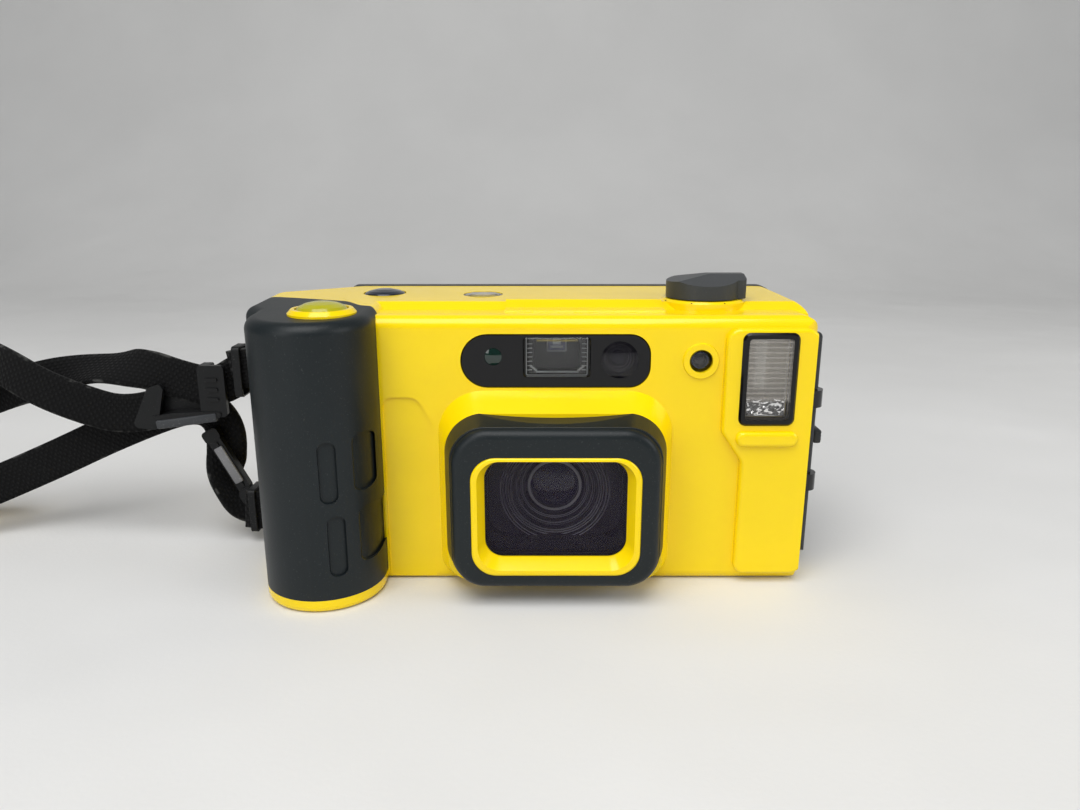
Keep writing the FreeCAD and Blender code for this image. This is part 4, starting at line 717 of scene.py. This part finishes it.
@dataclass
class Studio:
    """Camera at the photograph's angle, pale cloth floor and wall, and soft lamps; sizes in metres."""

    eye: Triple = (-0.0044, -0.2495, 0.1148)
    pitch: float = 75.0
    lens: float = 27.03
    sensor: float = 36.0
    near: float = 0.01
    reach: float = 3.0
    wall: float = 1.15
    rise: float = 2.0
    bend: float = 0.55
    bend_steps: int = 24
    lamps: tuple[Lamp, ...] = (
        Lamp("key", (-0.12, -0.45, 0.92), (0.0, 0.02, 0.03), side=0.8, power=8.5),
        Lamp("fill", (-0.75, -0.95, 0.45), (-0.03, 0.0, 0.04), side=0.6, power=2.8),
        Lamp("side", (0.95, -0.35, 0.5), (0.03, 0.0, 0.04), side=0.5, power=2.8),
    )
    ambient: float = 0.34
    mirror_dim: float = 0.75
    sky_light: Colour = (0.95, 0.97, 1.0)
    sky_seen: Colour = (0.74, 0.74, 0.73)

    def build(self, wardrobe: Wardrobe) -> None:
        """Makes the camera, the cove, the lamps and the world.

        Args:
            wardrobe: Where the cloth comes from.
        """
        scene = bpy.context.scene
        scene.view_settings.view_transform = "Standard"
        data = bpy.data.cameras.new("view")
        data.lens = self.lens
        data.sensor_width = self.sensor
        data.clip_start = self.near
        camera = bpy.data.objects.new("view", data)
        camera.location = self.eye
        camera.rotation_euler = (math.radians(self.pitch), 0.0, 0.0)
        scene.collection.objects.link(camera)
        scene.camera = camera
        self.cove(wardrobe)
        for lamp in self.lamps:
            lamp.build()
        self.sky()

    def cove(self, wardrobe: Wardrobe) -> None:
        """Makes the floor with a wall that rises from it in a wide bend.

        Args:
            wardrobe: Where the cloth comes from.
        """
        part = bmesh.new()
        bmesh.ops.create_grid(part, x_segments=1, y_segments=1, size=1.0)
        half = (self.wall + self.reach) / 2
        bmesh.ops.scale(part, vec=(self.reach, half, 1.0), verts=part.verts)
        bmesh.ops.translate(part, vec=(0.0, self.wall - half, 0.0), verts=part.verts)
        back = [e for e in part.edges if all(v.co.y > 0 for v in e.verts)]
        painted_weave_shade = bmesh.ops.extrude_edge_only(part, edges=back)["geom"]
        painted_weave_shade = [v for v in painted_weave_shade if isinstance(v, bmesh.types.BMVert)]
        bmesh.ops.translate(part, vec=(0.0, 0.0, self.rise), verts=painted_weave_shade)
        round_edges(part, back, self.bend, self.bend_steps)
        cove = show("cloth_cove", part, wardrobe.get("floor_cloth"))

    def sky(self) -> None:
        """Even light from all round, paler where it is looked at and dim where it is mirrored."""
        world = bpy.data.worlds.new("studio")
        world.use_nodes = True
        s = Shade(world.node_tree)
        looked = s.node("ShaderNodeLightPath", out=CAMERA_RAY)
        mirrored = s.node("ShaderNodeLightPath", out=GLOSSY_RAY)
        strength = self.ambient - mirrored * (self.ambient * self.mirror_dim)
        light = s.node("ShaderNodeBackground", {}, {0: (*self.sky_light, 1.0), 1: strength})
        seen = s.node("ShaderNodeBackground", {}, {0: (*self.sky_seen, 1.0), 1: 1.0})
        s.end("ShaderNodeOutputWorld", s.node("ShaderNodeMixShader", {}, {0: looked, 1: light, 2: seen}))
        bpy.context.scene.world = world


@dataclass
class Strap:
    """Woven neck strap: from the upper lug to the roll, and back behind the buckle to the lower lug.

    The strap's own sizes are metres. The corners of the tie and the float, counted from the roll, and of the
    keepers, the buckle's rail and the grey bar of painted highlight on the clip are millimetres.
    """

    width: float = 0.0126
    thick: float = 0.0014
    crown: float = 0.00012
    across: int = 6
    fineness: int = 8
    roll_x: float = -0.240
    roll_y: float = 0.022
    roll_z: float = 0.0072
    inner: float = 0.0075
    step: float = 0.005
    bow: float = 0.56
    upper_half_turns: int = 4
    lower_half_turns: int = 5
    per_turn: int = 12
    exit: Triple = (-0.0957, 0.004, 0.0605)
    tail_length: float = 0.0762
    tie: Corners = ((-31.6, -4.0, 0.05), (-7.2, 4.0, 14.4))
    sleeve: Corners = ((7.8, -6.0, 0.05), (26.8, 6.0, 14.6))
    cap: Corners = ((7.2, -6.3, 13.8), (27.4, 6.3, 17.0))
    arm: Corners = ((26.0, -6.0, 14.2), (50.0, 8.0, 17.4))
    arm_lean: float = -11.8
    band: float = 0.85
    upper_keeper: Corners = ((-101.4, 0.3, 50.2), (-98.8, 8.1, 66.6))
    lower_keeper: Corners = ((-100.5, 0.2, 3.8), (-98.2, 10.2, 18.8))
    highlight_bar: Corners = ((-108.8, 3.95, 19.4), (-105.8, 4.9, 33.0))
    highlight_bar_lean: float = -27.0
    rail: Corners = ((-127.4, -0.6, 41.2), (-107.6, 0.9, 44.0))
    rail_lean: float = -7.5

    def upper(self) -> Route:
        """Gives the upper stretch.

        Returns:
            Its points, each with the direction of the width.
        """
        return [
            ((-0.1026, 0.0032, 0.0586), (0, 0, 1)), ((-0.0930, 0.0014, 0.0605), (0, 0, 1)),
            ((-0.0930, 0.0066, 0.0605), (0, 0, 1)), ((-0.1005, 0.0060, 0.0573), (0, 0, 1)),
            ((-0.1080, 0.0032, 0.0526), (0, 0, 1)), ((-0.1195, 0.0032, 0.0554), (0, 0, 1)),
            ((-0.1310, 0.0046, 0.0590), (0, 0.25, 1)), ((-0.1425, 0.0074, 0.0586), (0, 0.9, 0.45)),
            ((-0.1545, 0.0102, 0.0572), (0, 0.8, 0.6)), ((-0.1690, 0.0120, 0.0536), (0, 0.3, 1)),
            ((-0.1849, 0.0122, 0.0490), (0, 0, 1)), ((-0.2000, 0.0120, 0.0424), (0, 0, 1)),
            ((-0.2100, 0.0080, 0.0310), (0, 0, 1)), ((-0.2170, 0.0020, 0.0195), (0, 0, 1)),
            ((-0.2255, -0.0055, 0.0108), (0, 0, 1)),
        ]

    def lower(self) -> Route:
        """Gives the lower stretch, from the roll to the lower lug.

        Returns:
            Its points, each with the direction of the width.
        """
        return [
            ((-0.2220, -0.0095, 0.0084), (0, 0, 1)), ((-0.2040, -0.0015, 0.0120), (0, 0, 1)),
            ((-0.1855, 0.0080, 0.0188), (0, 0, 1)), ((-0.1655, 0.0096, 0.0273), (0, 0, 1)),
            ((-0.1490, 0.0098, 0.0350), (0, 0, 1)), ((-0.1310, 0.0098, 0.0424), (0, 0, 1)),
            ((-0.1210, 0.0098, 0.0454), (0.1, 0, 1)), ((-0.1138, 0.0096, 0.0446), (0.45, 0, 0.9)),
            ((-0.1090, 0.0092, 0.0388), (0.9, 0, 0.45)), ((-0.1088, 0.0086, 0.0302), (1, 0.25, 0)),
            ((-0.1106, 0.0080, 0.0216), (0.5, 0.85, 0)), ((-0.1082, 0.0072, 0.0138), (0, 0.97, 0.25)),
            ((-0.1008, 0.0068, 0.0110), (0, 0.45, 0.9)), ((-0.0930, 0.0066, 0.0108), (0, 0, 1)),
            ((-0.0930, 0.0014, 0.0108), (0, 0, 1)), ((-0.1022, 0.0022, 0.0116), (0, 0, 1)),
        ]

    def tail(self) -> Route:
        """Gives the adjuster's free tail.

        Returns:
            Its points, each with the direction of the width.
        """
        return [
            ((-0.1298, 0.0032, 0.0454), (0, 0, 1)), ((-0.1385, 0.0028, 0.0434), (0, 0, 1)),
            ((-0.1510, 0.0014, 0.0478), (0, 0, 1)), ((-0.1635, 0.0006, 0.0536), (0, 0, 1)),
            ((-0.1740, 0.0016, 0.0602), (0, 0.1, 1)), ((-0.1824, 0.0070, 0.0614), (0, 0.3, 1)),
            ((-0.1896, 0.0034, 0.0558), (0, 0.2, 1)), ((-0.1962, 0.0006, 0.0484), (0, 0.2, 1)),
        ]

    def roll(self) -> Route:
        """Works out the roll's points from its spiral: inwards, an S in the middle, and outwards.

        Returns:
            The points, each with the direction of the width.
        """
        middle = self.roll_y - self.step / 2
        wide = 1.0 / math.cos(math.pi / self.per_turn)
        turn = 2 * math.pi / self.per_turn
        upright = (0, 0, 1)
        points = []
        for i in range(self.upper_half_turns * self.per_turn // 2):
            angle = (i + 0.5) * turn
            r = wide * (self.inner + self.step * (self.upper_half_turns - angle / math.pi))
            at = (self.roll_x - r * math.sin(angle), middle - r * math.cos(angle), self.roll_z)
            points.append((at, upright))
        side = self.inner * self.bow
        for along, back in ((self.inner, -side), (0.0, -side), (0.0, side), (-self.inner, side)):
            points.append(((self.roll_x + back, middle - along, self.roll_z), upright))
        for i in range(self.lower_half_turns * self.per_turn // 2):
            angle = (i + 0.5) * turn
            r = wide * (self.inner + self.step * angle / math.pi)
            at = (self.roll_x - r * math.sin(angle), middle + r * math.cos(angle), self.roll_z)
            points.append((at, upright))
        return points

    def line(self, points: list[Triple]) -> list[Vector]:
        """Reads points from a smooth NURBS spline.

        Args:
            points: Its control points.

        Returns:
            The points along it.
        """
        curve = bpy.data.curves.new("route", "CURVE")
        curve.dimensions = "3D"
        curve.resolution_u = self.fineness
        spline = curve.splines.new("NURBS")
        spline.points.add(len(points) - 1)
        for point, at in zip(spline.points, points):
            point.co = (*at, 1.0)
        spline.order_u = 3
        spline.use_endpoint_u = True
        holder = bpy.data.objects.new("route", curve)
        mesh = bpy.data.meshes.new_from_object(holder)
        line = [v.co.copy() for v in mesh.vertices]
        bpy.data.meshes.remove(mesh)
        bpy.data.objects.remove(holder)
        bpy.data.curves.remove(curve)
        return line

    def ribbon(self, name: str, route: Route,
               finish: bpy.types.Material) -> tuple[bpy.types.Object, list[Vector]]:
        """Lays a woven band along a route.

        Args:
            name: The piece's name.
            route: Points, each with the direction of the width.
            finish: The material.

        Returns:
            The piece and the points down its middle.
        """
        middle = self.line([p for p, w in route])
        side = self.line([tuple(Vector(p) + Vector(w).normalized() * self.width / 2) for p, w in route])
        last = len(middle) - 1
        far = [0.0]
        for a, b in zip(middle, middle[1:]):
            far.append(far[-1] + (b - a).length)
        part = bmesh.new()
        bmesh.ops.create_grid(part, x_segments=last, y_segments=self.across, size=1.0)
        layer = part.loops.layers.uv.new("weave")
        for face in part.faces:
            for loop in face.loops:
                i = round((loop.vert.co.x + 1) / 2 * last)
                loop[layer].uv = ((loop.vert.co.y + 1) / 2 * self.width, far[i])
        for vert in part.verts:
            i = round((vert.co.x + 1) / 2 * last)
            share = vert.co.y
            along = (middle[min(i + 1, last)] - middle[max(i - 1, 0)]).normalized()
            wide = side[i] - middle[i]
            wide = (wide - along * wide.dot(along)).normalized()
            lift = along.cross(wide) * (self.crown * math.cos(share * math.pi / 2))
            vert.co = middle[i] + wide * (share * self.width / 2) + lift
        piece = show(name, part, finish)
        wall = piece.modifiers.new("thickness", "SOLIDIFY")
        wall.thickness = self.thick
        wall.offset = 0.0
        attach(piece, "camera")
        log.info("made %s: %.3f m long", name, far[-1])
        return piece, middle

    def roll_tie(self, wardrobe: Wardrobe) -> bpy.types.Object:
        """Makes the tie round one side of the roll.

        Args:
            wardrobe: Where its finish comes from.

        Returns:
            The tie.
        """
        low, high = moved(self.tie, (self.roll_x / MM, (self.roll_y - self.step) / MM, 0.0))
        tie = Form().frame(low, high, Axis.Y, 2.0, self.band)
        return tie.place("roll_tie", wardrobe.get("tie_black"), "camera", "webbing", 0.15)

    def float_band(self, wardrobe: Wardrobe) -> bpy.types.Object:
        """Makes the foam float: a sleeve round the other side of the roll, its cap and its free arm.

        Args:
            wardrobe: Where its finish comes from.

        Returns:
            The float.
        """
        middle = (self.roll_x / MM, (self.roll_y - self.step / 2) / MM, 0.0)
        low, high = moved(self.sleeve, middle)
        pad = Form().frame(low, high, Axis.Y, 1.6, self.band)
        pad.block(*moved(self.cap, middle), 1.4)
        pad.block(*moved(self.arm, middle), 1.4, self.arm_lean)
        made = pad.place("float_band", wardrobe.get("float_yellow"), "camera", "float_yellow", 0.3)
        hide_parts("strap_float")
        return made

    def build(self, wardrobe: Wardrobe) -> None:
        """Makes the strap, tail, the roll's tie and float, keepers, rail and the clip's painted highlight.

        Args:
            wardrobe: Where the finishes come from.
        """
        tie = self.roll_tie(wardrobe)
        pad = self.float_band(wardrobe)
        keepers = Form()
        for corners in (self.upper_keeper, self.lower_keeper):
            keepers.frame(*corners, Axis.X, corner=1.4, rim=0.7)
        keepers.place("strap_keepers", wardrobe.get("buckle_black"), "camera", "buckle_black", 0.2)
        # A grey bar on the lower clip: painted highlight where its edge catches the light.
        highlight_bar = Form().block(*self.highlight_bar, 0.35, self.highlight_bar_lean)
        highlight_bar.place("clip_painted_highlight", wardrobe.get("bar_grey"), "camera", "buckle_black")
        finish = wardrobe.get("webbing")
        strap, middle = self.ribbon("neck_strap", self.upper() + self.roll() + self.lower(), finish)
        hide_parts("strap_webbing", "strap_roll")
        length = sum((b - a).length for a, b in zip(middle, middle[1:]))
        tail, middle = self.ribbon("strap_tail", self.tail(), finish)
        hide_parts("strap_webbing")
        rail = Form().block(*self.rail, 0.5, self.rail_lean)
        rail.place("buckle_rail", wardrobe.get("rail_grey"), "camera", "buckle_black")


@dataclass
class LensPort:
    """Bead round the hood and fine rings round the lens; depths are counted back from the shell's face."""

    face: float = -25.5
    centre: Triple = (0.0, 0.0, 28.7)
    steps: int = 96
    bead: Corners = ((-29.15, -15.6, 5.95), (29.15, -15.0, 52.75))
    bead_corner: float = 9.8
    bead_rim: float = 0.7
    ridge: float = 0.2
    ridge_rise: float = 0.34
    ridge_seat: float = 0.05
    ridges: tuple[tuple[float, tuple[float, ...]], ...] = (
        (0.4, (15.3, 16.1)), (1.4, (14.5, 13.8, 13.1)), (2.8, (12.0, 11.3)), (4.2, (10.2, 9.7)),
    )
    collar_back: float = 4.6
    collar: tuple[Pair, ...] = ((7.25, 0.05), (7.25, -0.2), (7.6, -0.35), (8.0, -0.35), (8.2, 0.05))

    def build(self, wardrobe: Wardrobe) -> None:
        """Makes the hood's bead, and the shield's ridges and lens collar in grey that is painted highlight.

        Args:
            wardrobe: Where the finishes come from.
        """
        low, high = moved(self.bead, (0.0, self.face, 0.0))
        bead = Form().frame(low, high, Axis.Y, self.bead_corner, self.bead_rim)
        bead.place("hood_bead", wardrobe.get("rubber_dark"), "camera", "rubber_dark", 0.2)
        rings = Form()
        for back, radii in self.ridges:
            y = self.face + back
            for r in radii:
                profile = [(r - self.ridge, y + self.ridge_seat), (r, y - self.ridge_rise),
                           (r + self.ridge, y + self.ridge_seat)]
                rings.turned(profile, self.centre, self.steps)
        rings.place("shield_rings", wardrobe.get("ring_grey"), "camera", "black_plastic")
        collar = Form().turned(behind(self.collar, self.face + self.collar_back), self.centre, self.steps)
        collar.place("lens_collar", wardrobe.get("ring_grey"), "barrel", "black_plastic")


@dataclass
class FaceWindows:
    """Steps, cups and inner lenses behind the windows; depths are counted back from the shell's face."""

    face: float = -25.5
    well: Corners = ((-8.4, 1.5, 63.2), (9.1, 2.0, 74.0))
    sill: Corners = ((-5.6, 1.5, 64.05), (6.6, 2.1, 64.4))
    rungs: int = 7
    rung_pitch: float = 1.25
    left_rung: Corners = ((-8.0, 1.5, 64.7), (-6.6, 2.0, 64.9))
    right_rung: Corners = ((7.4, 1.5, 64.7), (8.8, 2.0, 64.9))
    left_brace: Corners = ((-7.4, 1.5, 65.0), (-5.0, 2.0, 65.5))
    right_brace: Corners = ((6.0, 1.5, 65.0), (8.4, 2.0, 65.5))
    brace_lean: float = 38.0
    mask: tuple[Corners, ...] = (
        ((-6.15, 12.5, 63.1), (-1.9, 13.1, 74.3)), ((2.9, 12.5, 63.1), (7.1, 13.1, 74.3)),
        ((-2.1, 12.5, 72.9), (3.1, 13.1, 74.3)), ((-2.1, 12.5, 63.1), (3.1, 13.1, 68.7)),
    )
    rim: Corners = ((-2.4, 12.1, 68.2), (3.4, 12.6, 73.3))
    glass: Corners = ((-2.0, 12.2, 68.6), (3.0, 12.6, 72.9))
    upper_highlight: Corners = ((-0.7, 11.9, 70.3), (1.7, 12.3, 72.5))
    lower_highlight: Corners = ((-1.3, 12.0, 69.3), (2.3, 12.3, 70.0))
    focus: Triple = (18.1, 0.0, 67.9)
    focus_cup: tuple[Pair, ...] = (
        (4.1, 1.9), (4.1, 5.6), (2.2, 5.6), (2.2, 5.0), (2.7, 4.4), (2.9, 4.4), (2.9, 3.4), (3.4, 3.0),
        (3.5, 2.2), (3.9, 1.9),
    )
    focus_dome: tuple[Pair, ...] = (
        (0.0, 3.4), (0.8, 3.53), (1.3, 3.75), (1.8, 4.12), (2.15, 4.54), (2.15, 5.4), (0.0, 5.4),
    )
    meter: Triple = (41.0, 0.0, 67.6)
    meter_cup: tuple[Pair, ...] = ((0.0, 5.2), (2.35, 5.2), (2.35, 1.7), (2.1, 1.7), (1.4, 3.6), (0.0, 3.6))
    meter_steps: int = 48

    def inside(self, corners: Corners, up: float = 0.0) -> list[Triple]:
        """Corners behind the shell's face, raised by a distance."""
        return moved(corners, (0.0, self.face, up))

    def build(self, wardrobe: Wardrobe) -> None:
        """Makes the finder, the focus window's inside and the light cell.

        Args:
            wardrobe: Where the finishes come from.
        """
        self.finder_well(wardrobe)
        self.finder_inside(wardrobe)
        cup = Form().turned(behind(self.focus_cup, self.face), self.focus)
        cup.place("focus_cup", wardrobe.get("lens_black"), "camera", "black_plastic")
        dome = Form().turned(behind(self.focus_dome, self.face), self.focus)
        dome.place("focus_inner_lens", wardrobe.get("lens_glass"), "camera", "lens_glass")
        cell = Form().turned(behind(self.meter_cup, self.face), self.meter, self.meter_steps)
        cell.place("light_cell", wardrobe.get("lens_black"), "camera", "black_plastic")

    def finder_well(self, wardrobe: Wardrobe) -> None:
        """Makes the frosted frame of the finder with its sill, rungs and corner braces.

        Args:
            wardrobe: Where the finishes come from.
        """
        steps = Form().frame(*self.inside(self.well), Axis.Y, 0.6, 0.25)
        steps.block(*self.inside(self.sill), 0.1)
        for i in range(self.rungs):
            steps.block(*self.inside(self.left_rung, self.rung_pitch * i), 0.05)
            steps.block(*self.inside(self.right_rung, self.rung_pitch * i), 0.05)
        steps.block(*self.inside(self.left_brace), 0.1, self.brace_lean)
        steps.block(*self.inside(self.right_brace), 0.1, -self.brace_lean)
        steps.place("finder_steps", wardrobe.get("frosted"), "camera", "clear_glass")

    def finder_inside(self, wardrobe: Wardrobe) -> None:
        """Makes the finder's mask, rim and violet glass, and two panes; rim and panes are painted highlight.

        Args:
            wardrobe: Where the finishes come from.
        """
        mask = Form()
        for corners in self.mask:
            mask.block(*self.inside(corners), 0.1)
        mask.place("finder_mask", wardrobe.get("black_plastic"), "camera", "black_plastic")
        rim = Form().frame(*self.inside(self.rim), Axis.Y, 0.4, 0.4)
        rim.place("finder_rim", wardrobe.get("ring_grey"), "camera", "black_plastic", 0.06)
        glass = Form().block(*self.inside(self.glass), 0.3)
        glass.place("finder_block", wardrobe.get("finder_violet"), "camera", "clear_glass")
        # Two pale panes in the finder's middle: painted highlight.
        highlights = Form().block(*self.inside(self.upper_highlight), 0.18)
        highlights.block(*self.inside(self.lower_highlight), 0.12)
        highlights.place("finder_painted_highlight", wardrobe.get("finder_pale"), "camera", "clear_glass")


@dataclass
class Flash:
    """Fine cross prisms on the flash cover and the crinkled foil below its tube."""

    x0: float = 53.7
    x1: float = 66.0
    z0: float = 56.8
    z1: float = 74.2
    face: float = -28.5
    count: int = 12
    prism_half: float = 0.25
    prism_rise: float = 0.1
    prism_seat: float = 0.05
    foil_y: float = -25.85
    foil_z: float = 54.2
    foil_half: Pair = (5.4, 2.2)
    foil_lean: float = 0.3
    crumple: float = 4.0
    crumple_y: float = 0.45
    crumple_z: float = 0.3
    seed: float = 1.7
    foil_thick: float = 0.08

    def build(self, wardrobe: Wardrobe) -> None:
        """Makes the prisms, which end above the foil, and the foil.

        Args:
            wardrobe: Where the finishes come from.
        """
        prisms = Form()
        pitch = (self.z1 - self.z0) / self.count
        for i in range(self.count):
            z = self.z0 + (i + 0.5) * pitch
            low = (self.x0, self.face - self.prism_rise, z - self.prism_half)
            high = (self.x1, self.face + self.prism_seat, z + self.prism_half)
            prisms.block(low, high, 0.06)
        prisms.place("flash_prisms", wardrobe.get("flash_cover"), "camera", "clear_glass")
        foil = bmesh.new()
        bmesh.ops.create_grid(foil, x_segments=26, y_segments=14, size=1.0)
        for vert in foil.verts:
            across, up = vert.co.x, vert.co.y
            rough = noise.noise(Vector((across * self.crumple, up * self.crumple, self.seed)))
            x = (self.x0 + self.x1) / 2 + across * self.foil_half[0]
            y = self.foil_y + up * self.foil_lean + rough * self.crumple_y
            vert.co = (x, y, self.foil_z + up * self.foil_half[1] + rough * self.crumple_z)
        bmesh.ops.solidify(foil, geom=foil.faces[:], thickness=self.foil_thick)
        Form().take(foil).place("flash_foil", wardrobe.get("bright_foil"), "camera", "chrome_trough")


@dataclass
class BackAndSide:
    """Eyecup and thumb rest on the rear door, finger ribs on the side latch, and the lock's tab.

    Depths of the door's pieces are counted back from the door's outside.
    """

    back: float = 28.5
    eyecup: Corners = ((-9.8, -0.1, 59.8), (10.8, 1.9, 76.8))
    rest: Corners = ((-62.0, -0.1, 16.0), (-42.0, 0.7, 60.0))
    ridge: Corners = ((-59.6, 0.5, 19.5), (-44.4, 1.7, 21.1))
    ridges: int = 9
    ridge_pitch: float = 4.5
    window: Corners = ((39.9, -0.1, 12.9), (51.1, 0.7, 44.1))
    rib: Corners = ((78.5, 14.0, 27.0), (79.15, 14.9, 56.0))
    ribs: int = 5
    rib_pitch: float = 2.1
    tab: Corners = ((78.95, -13.6, 39.4), (81.3, -6.4, 43.6))
    grip: Corners = ((81.0, -12.6, 40.2), (81.6, -7.4, 40.7))
    grips: int = 3
    grip_pitch: float = 1.1

    def build(self, wardrobe: Wardrobe) -> None:
        """Makes the pieces of the door, the latch and the lock.

        Args:
            wardrobe: Where the finishes come from.
        """
        rubber = wardrobe.get("rubber_dark")
        dark = wardrobe.get("door_dark")
        outside = (0.0, self.back, 0.0)
        cup = Form().frame(*moved(self.eyecup, outside), Axis.Y, corner=4.0, rim=2.3)
        cup.place("eyecup", rubber, "door", "rubber_dark", 0.6)
        rest = Form().block(*moved(self.rest, outside), 0.5)
        for i in range(self.ridges):
            rest.block(*moved(self.ridge, (0.0, self.back, self.ridge_pitch * i)), 0.5)
        rest.place("thumb_rest", rubber, "door", "rubber_dark")
        rim = Form().frame(*moved(self.window, outside), Axis.Y, corner=4.4, rim=1.1)
        rim.place("film_window_rim", dark, "door", "door_dark", 0.25)
        ribs = Form()
        for i in range(self.ribs):
            ribs.block(*moved(self.rib, (0.0, self.rib_pitch * i, 0.0)), 0.28)
        ribs.place("latch_ribs", dark, "latch", "door_dark")
        tab = Form().block(*self.tab, 0.6)
        for i in range(self.grips):
            tab.block(*moved(self.grip, (0.0, 0.0, self.grip_pitch * i)), 0.2)
        tab.place("lock_tab", dark, "lock", "door_dark")


@dataclass
class TopMarks:
    """Plain index bars beside the selector."""

    middle: Triple = (44.6, -4.5, 82.9)
    reach: float = 12.1
    bar: Corners = ((-0.5, -0.16, -0.45), (0.5, 0.16, -0.25))
    directions: Triple = (200.0, 245.0, 290.0)

    def build(self, wardrobe: Wardrobe) -> None:
        """Makes three plain bars on the selector's seat.

        Args:
            wardrobe: Where the finish comes from.
        """
        bars = Form()
        for degrees in self.directions:
            angle = math.radians(degrees)
            x = self.middle[0] + self.reach * math.cos(angle)
            y = self.middle[1] + self.reach * math.sin(angle)
            bars.block(*moved(self.bar, (x, y, self.middle[2])), 0.05, degrees, Axis.Z)
        bars.place("index_bars", wardrobe.get("panel_black"), "camera", "panel_black")


def main() -> None:
    """Builds the classes in order."""
    logging.basicConfig(level=logging.INFO, format="%(message)s")
    wardrobe = Wardrobe()
    for group in (Studio(), Strap(), LensPort(), FaceWindows(), Flash(), BackAndSide(), TopMarks()):
        group.build(wardrobe)
        log.info("finished %s", type(group).__name__)
    wardrobe.dress_solids()


if __name__ == "__main__":
    main()
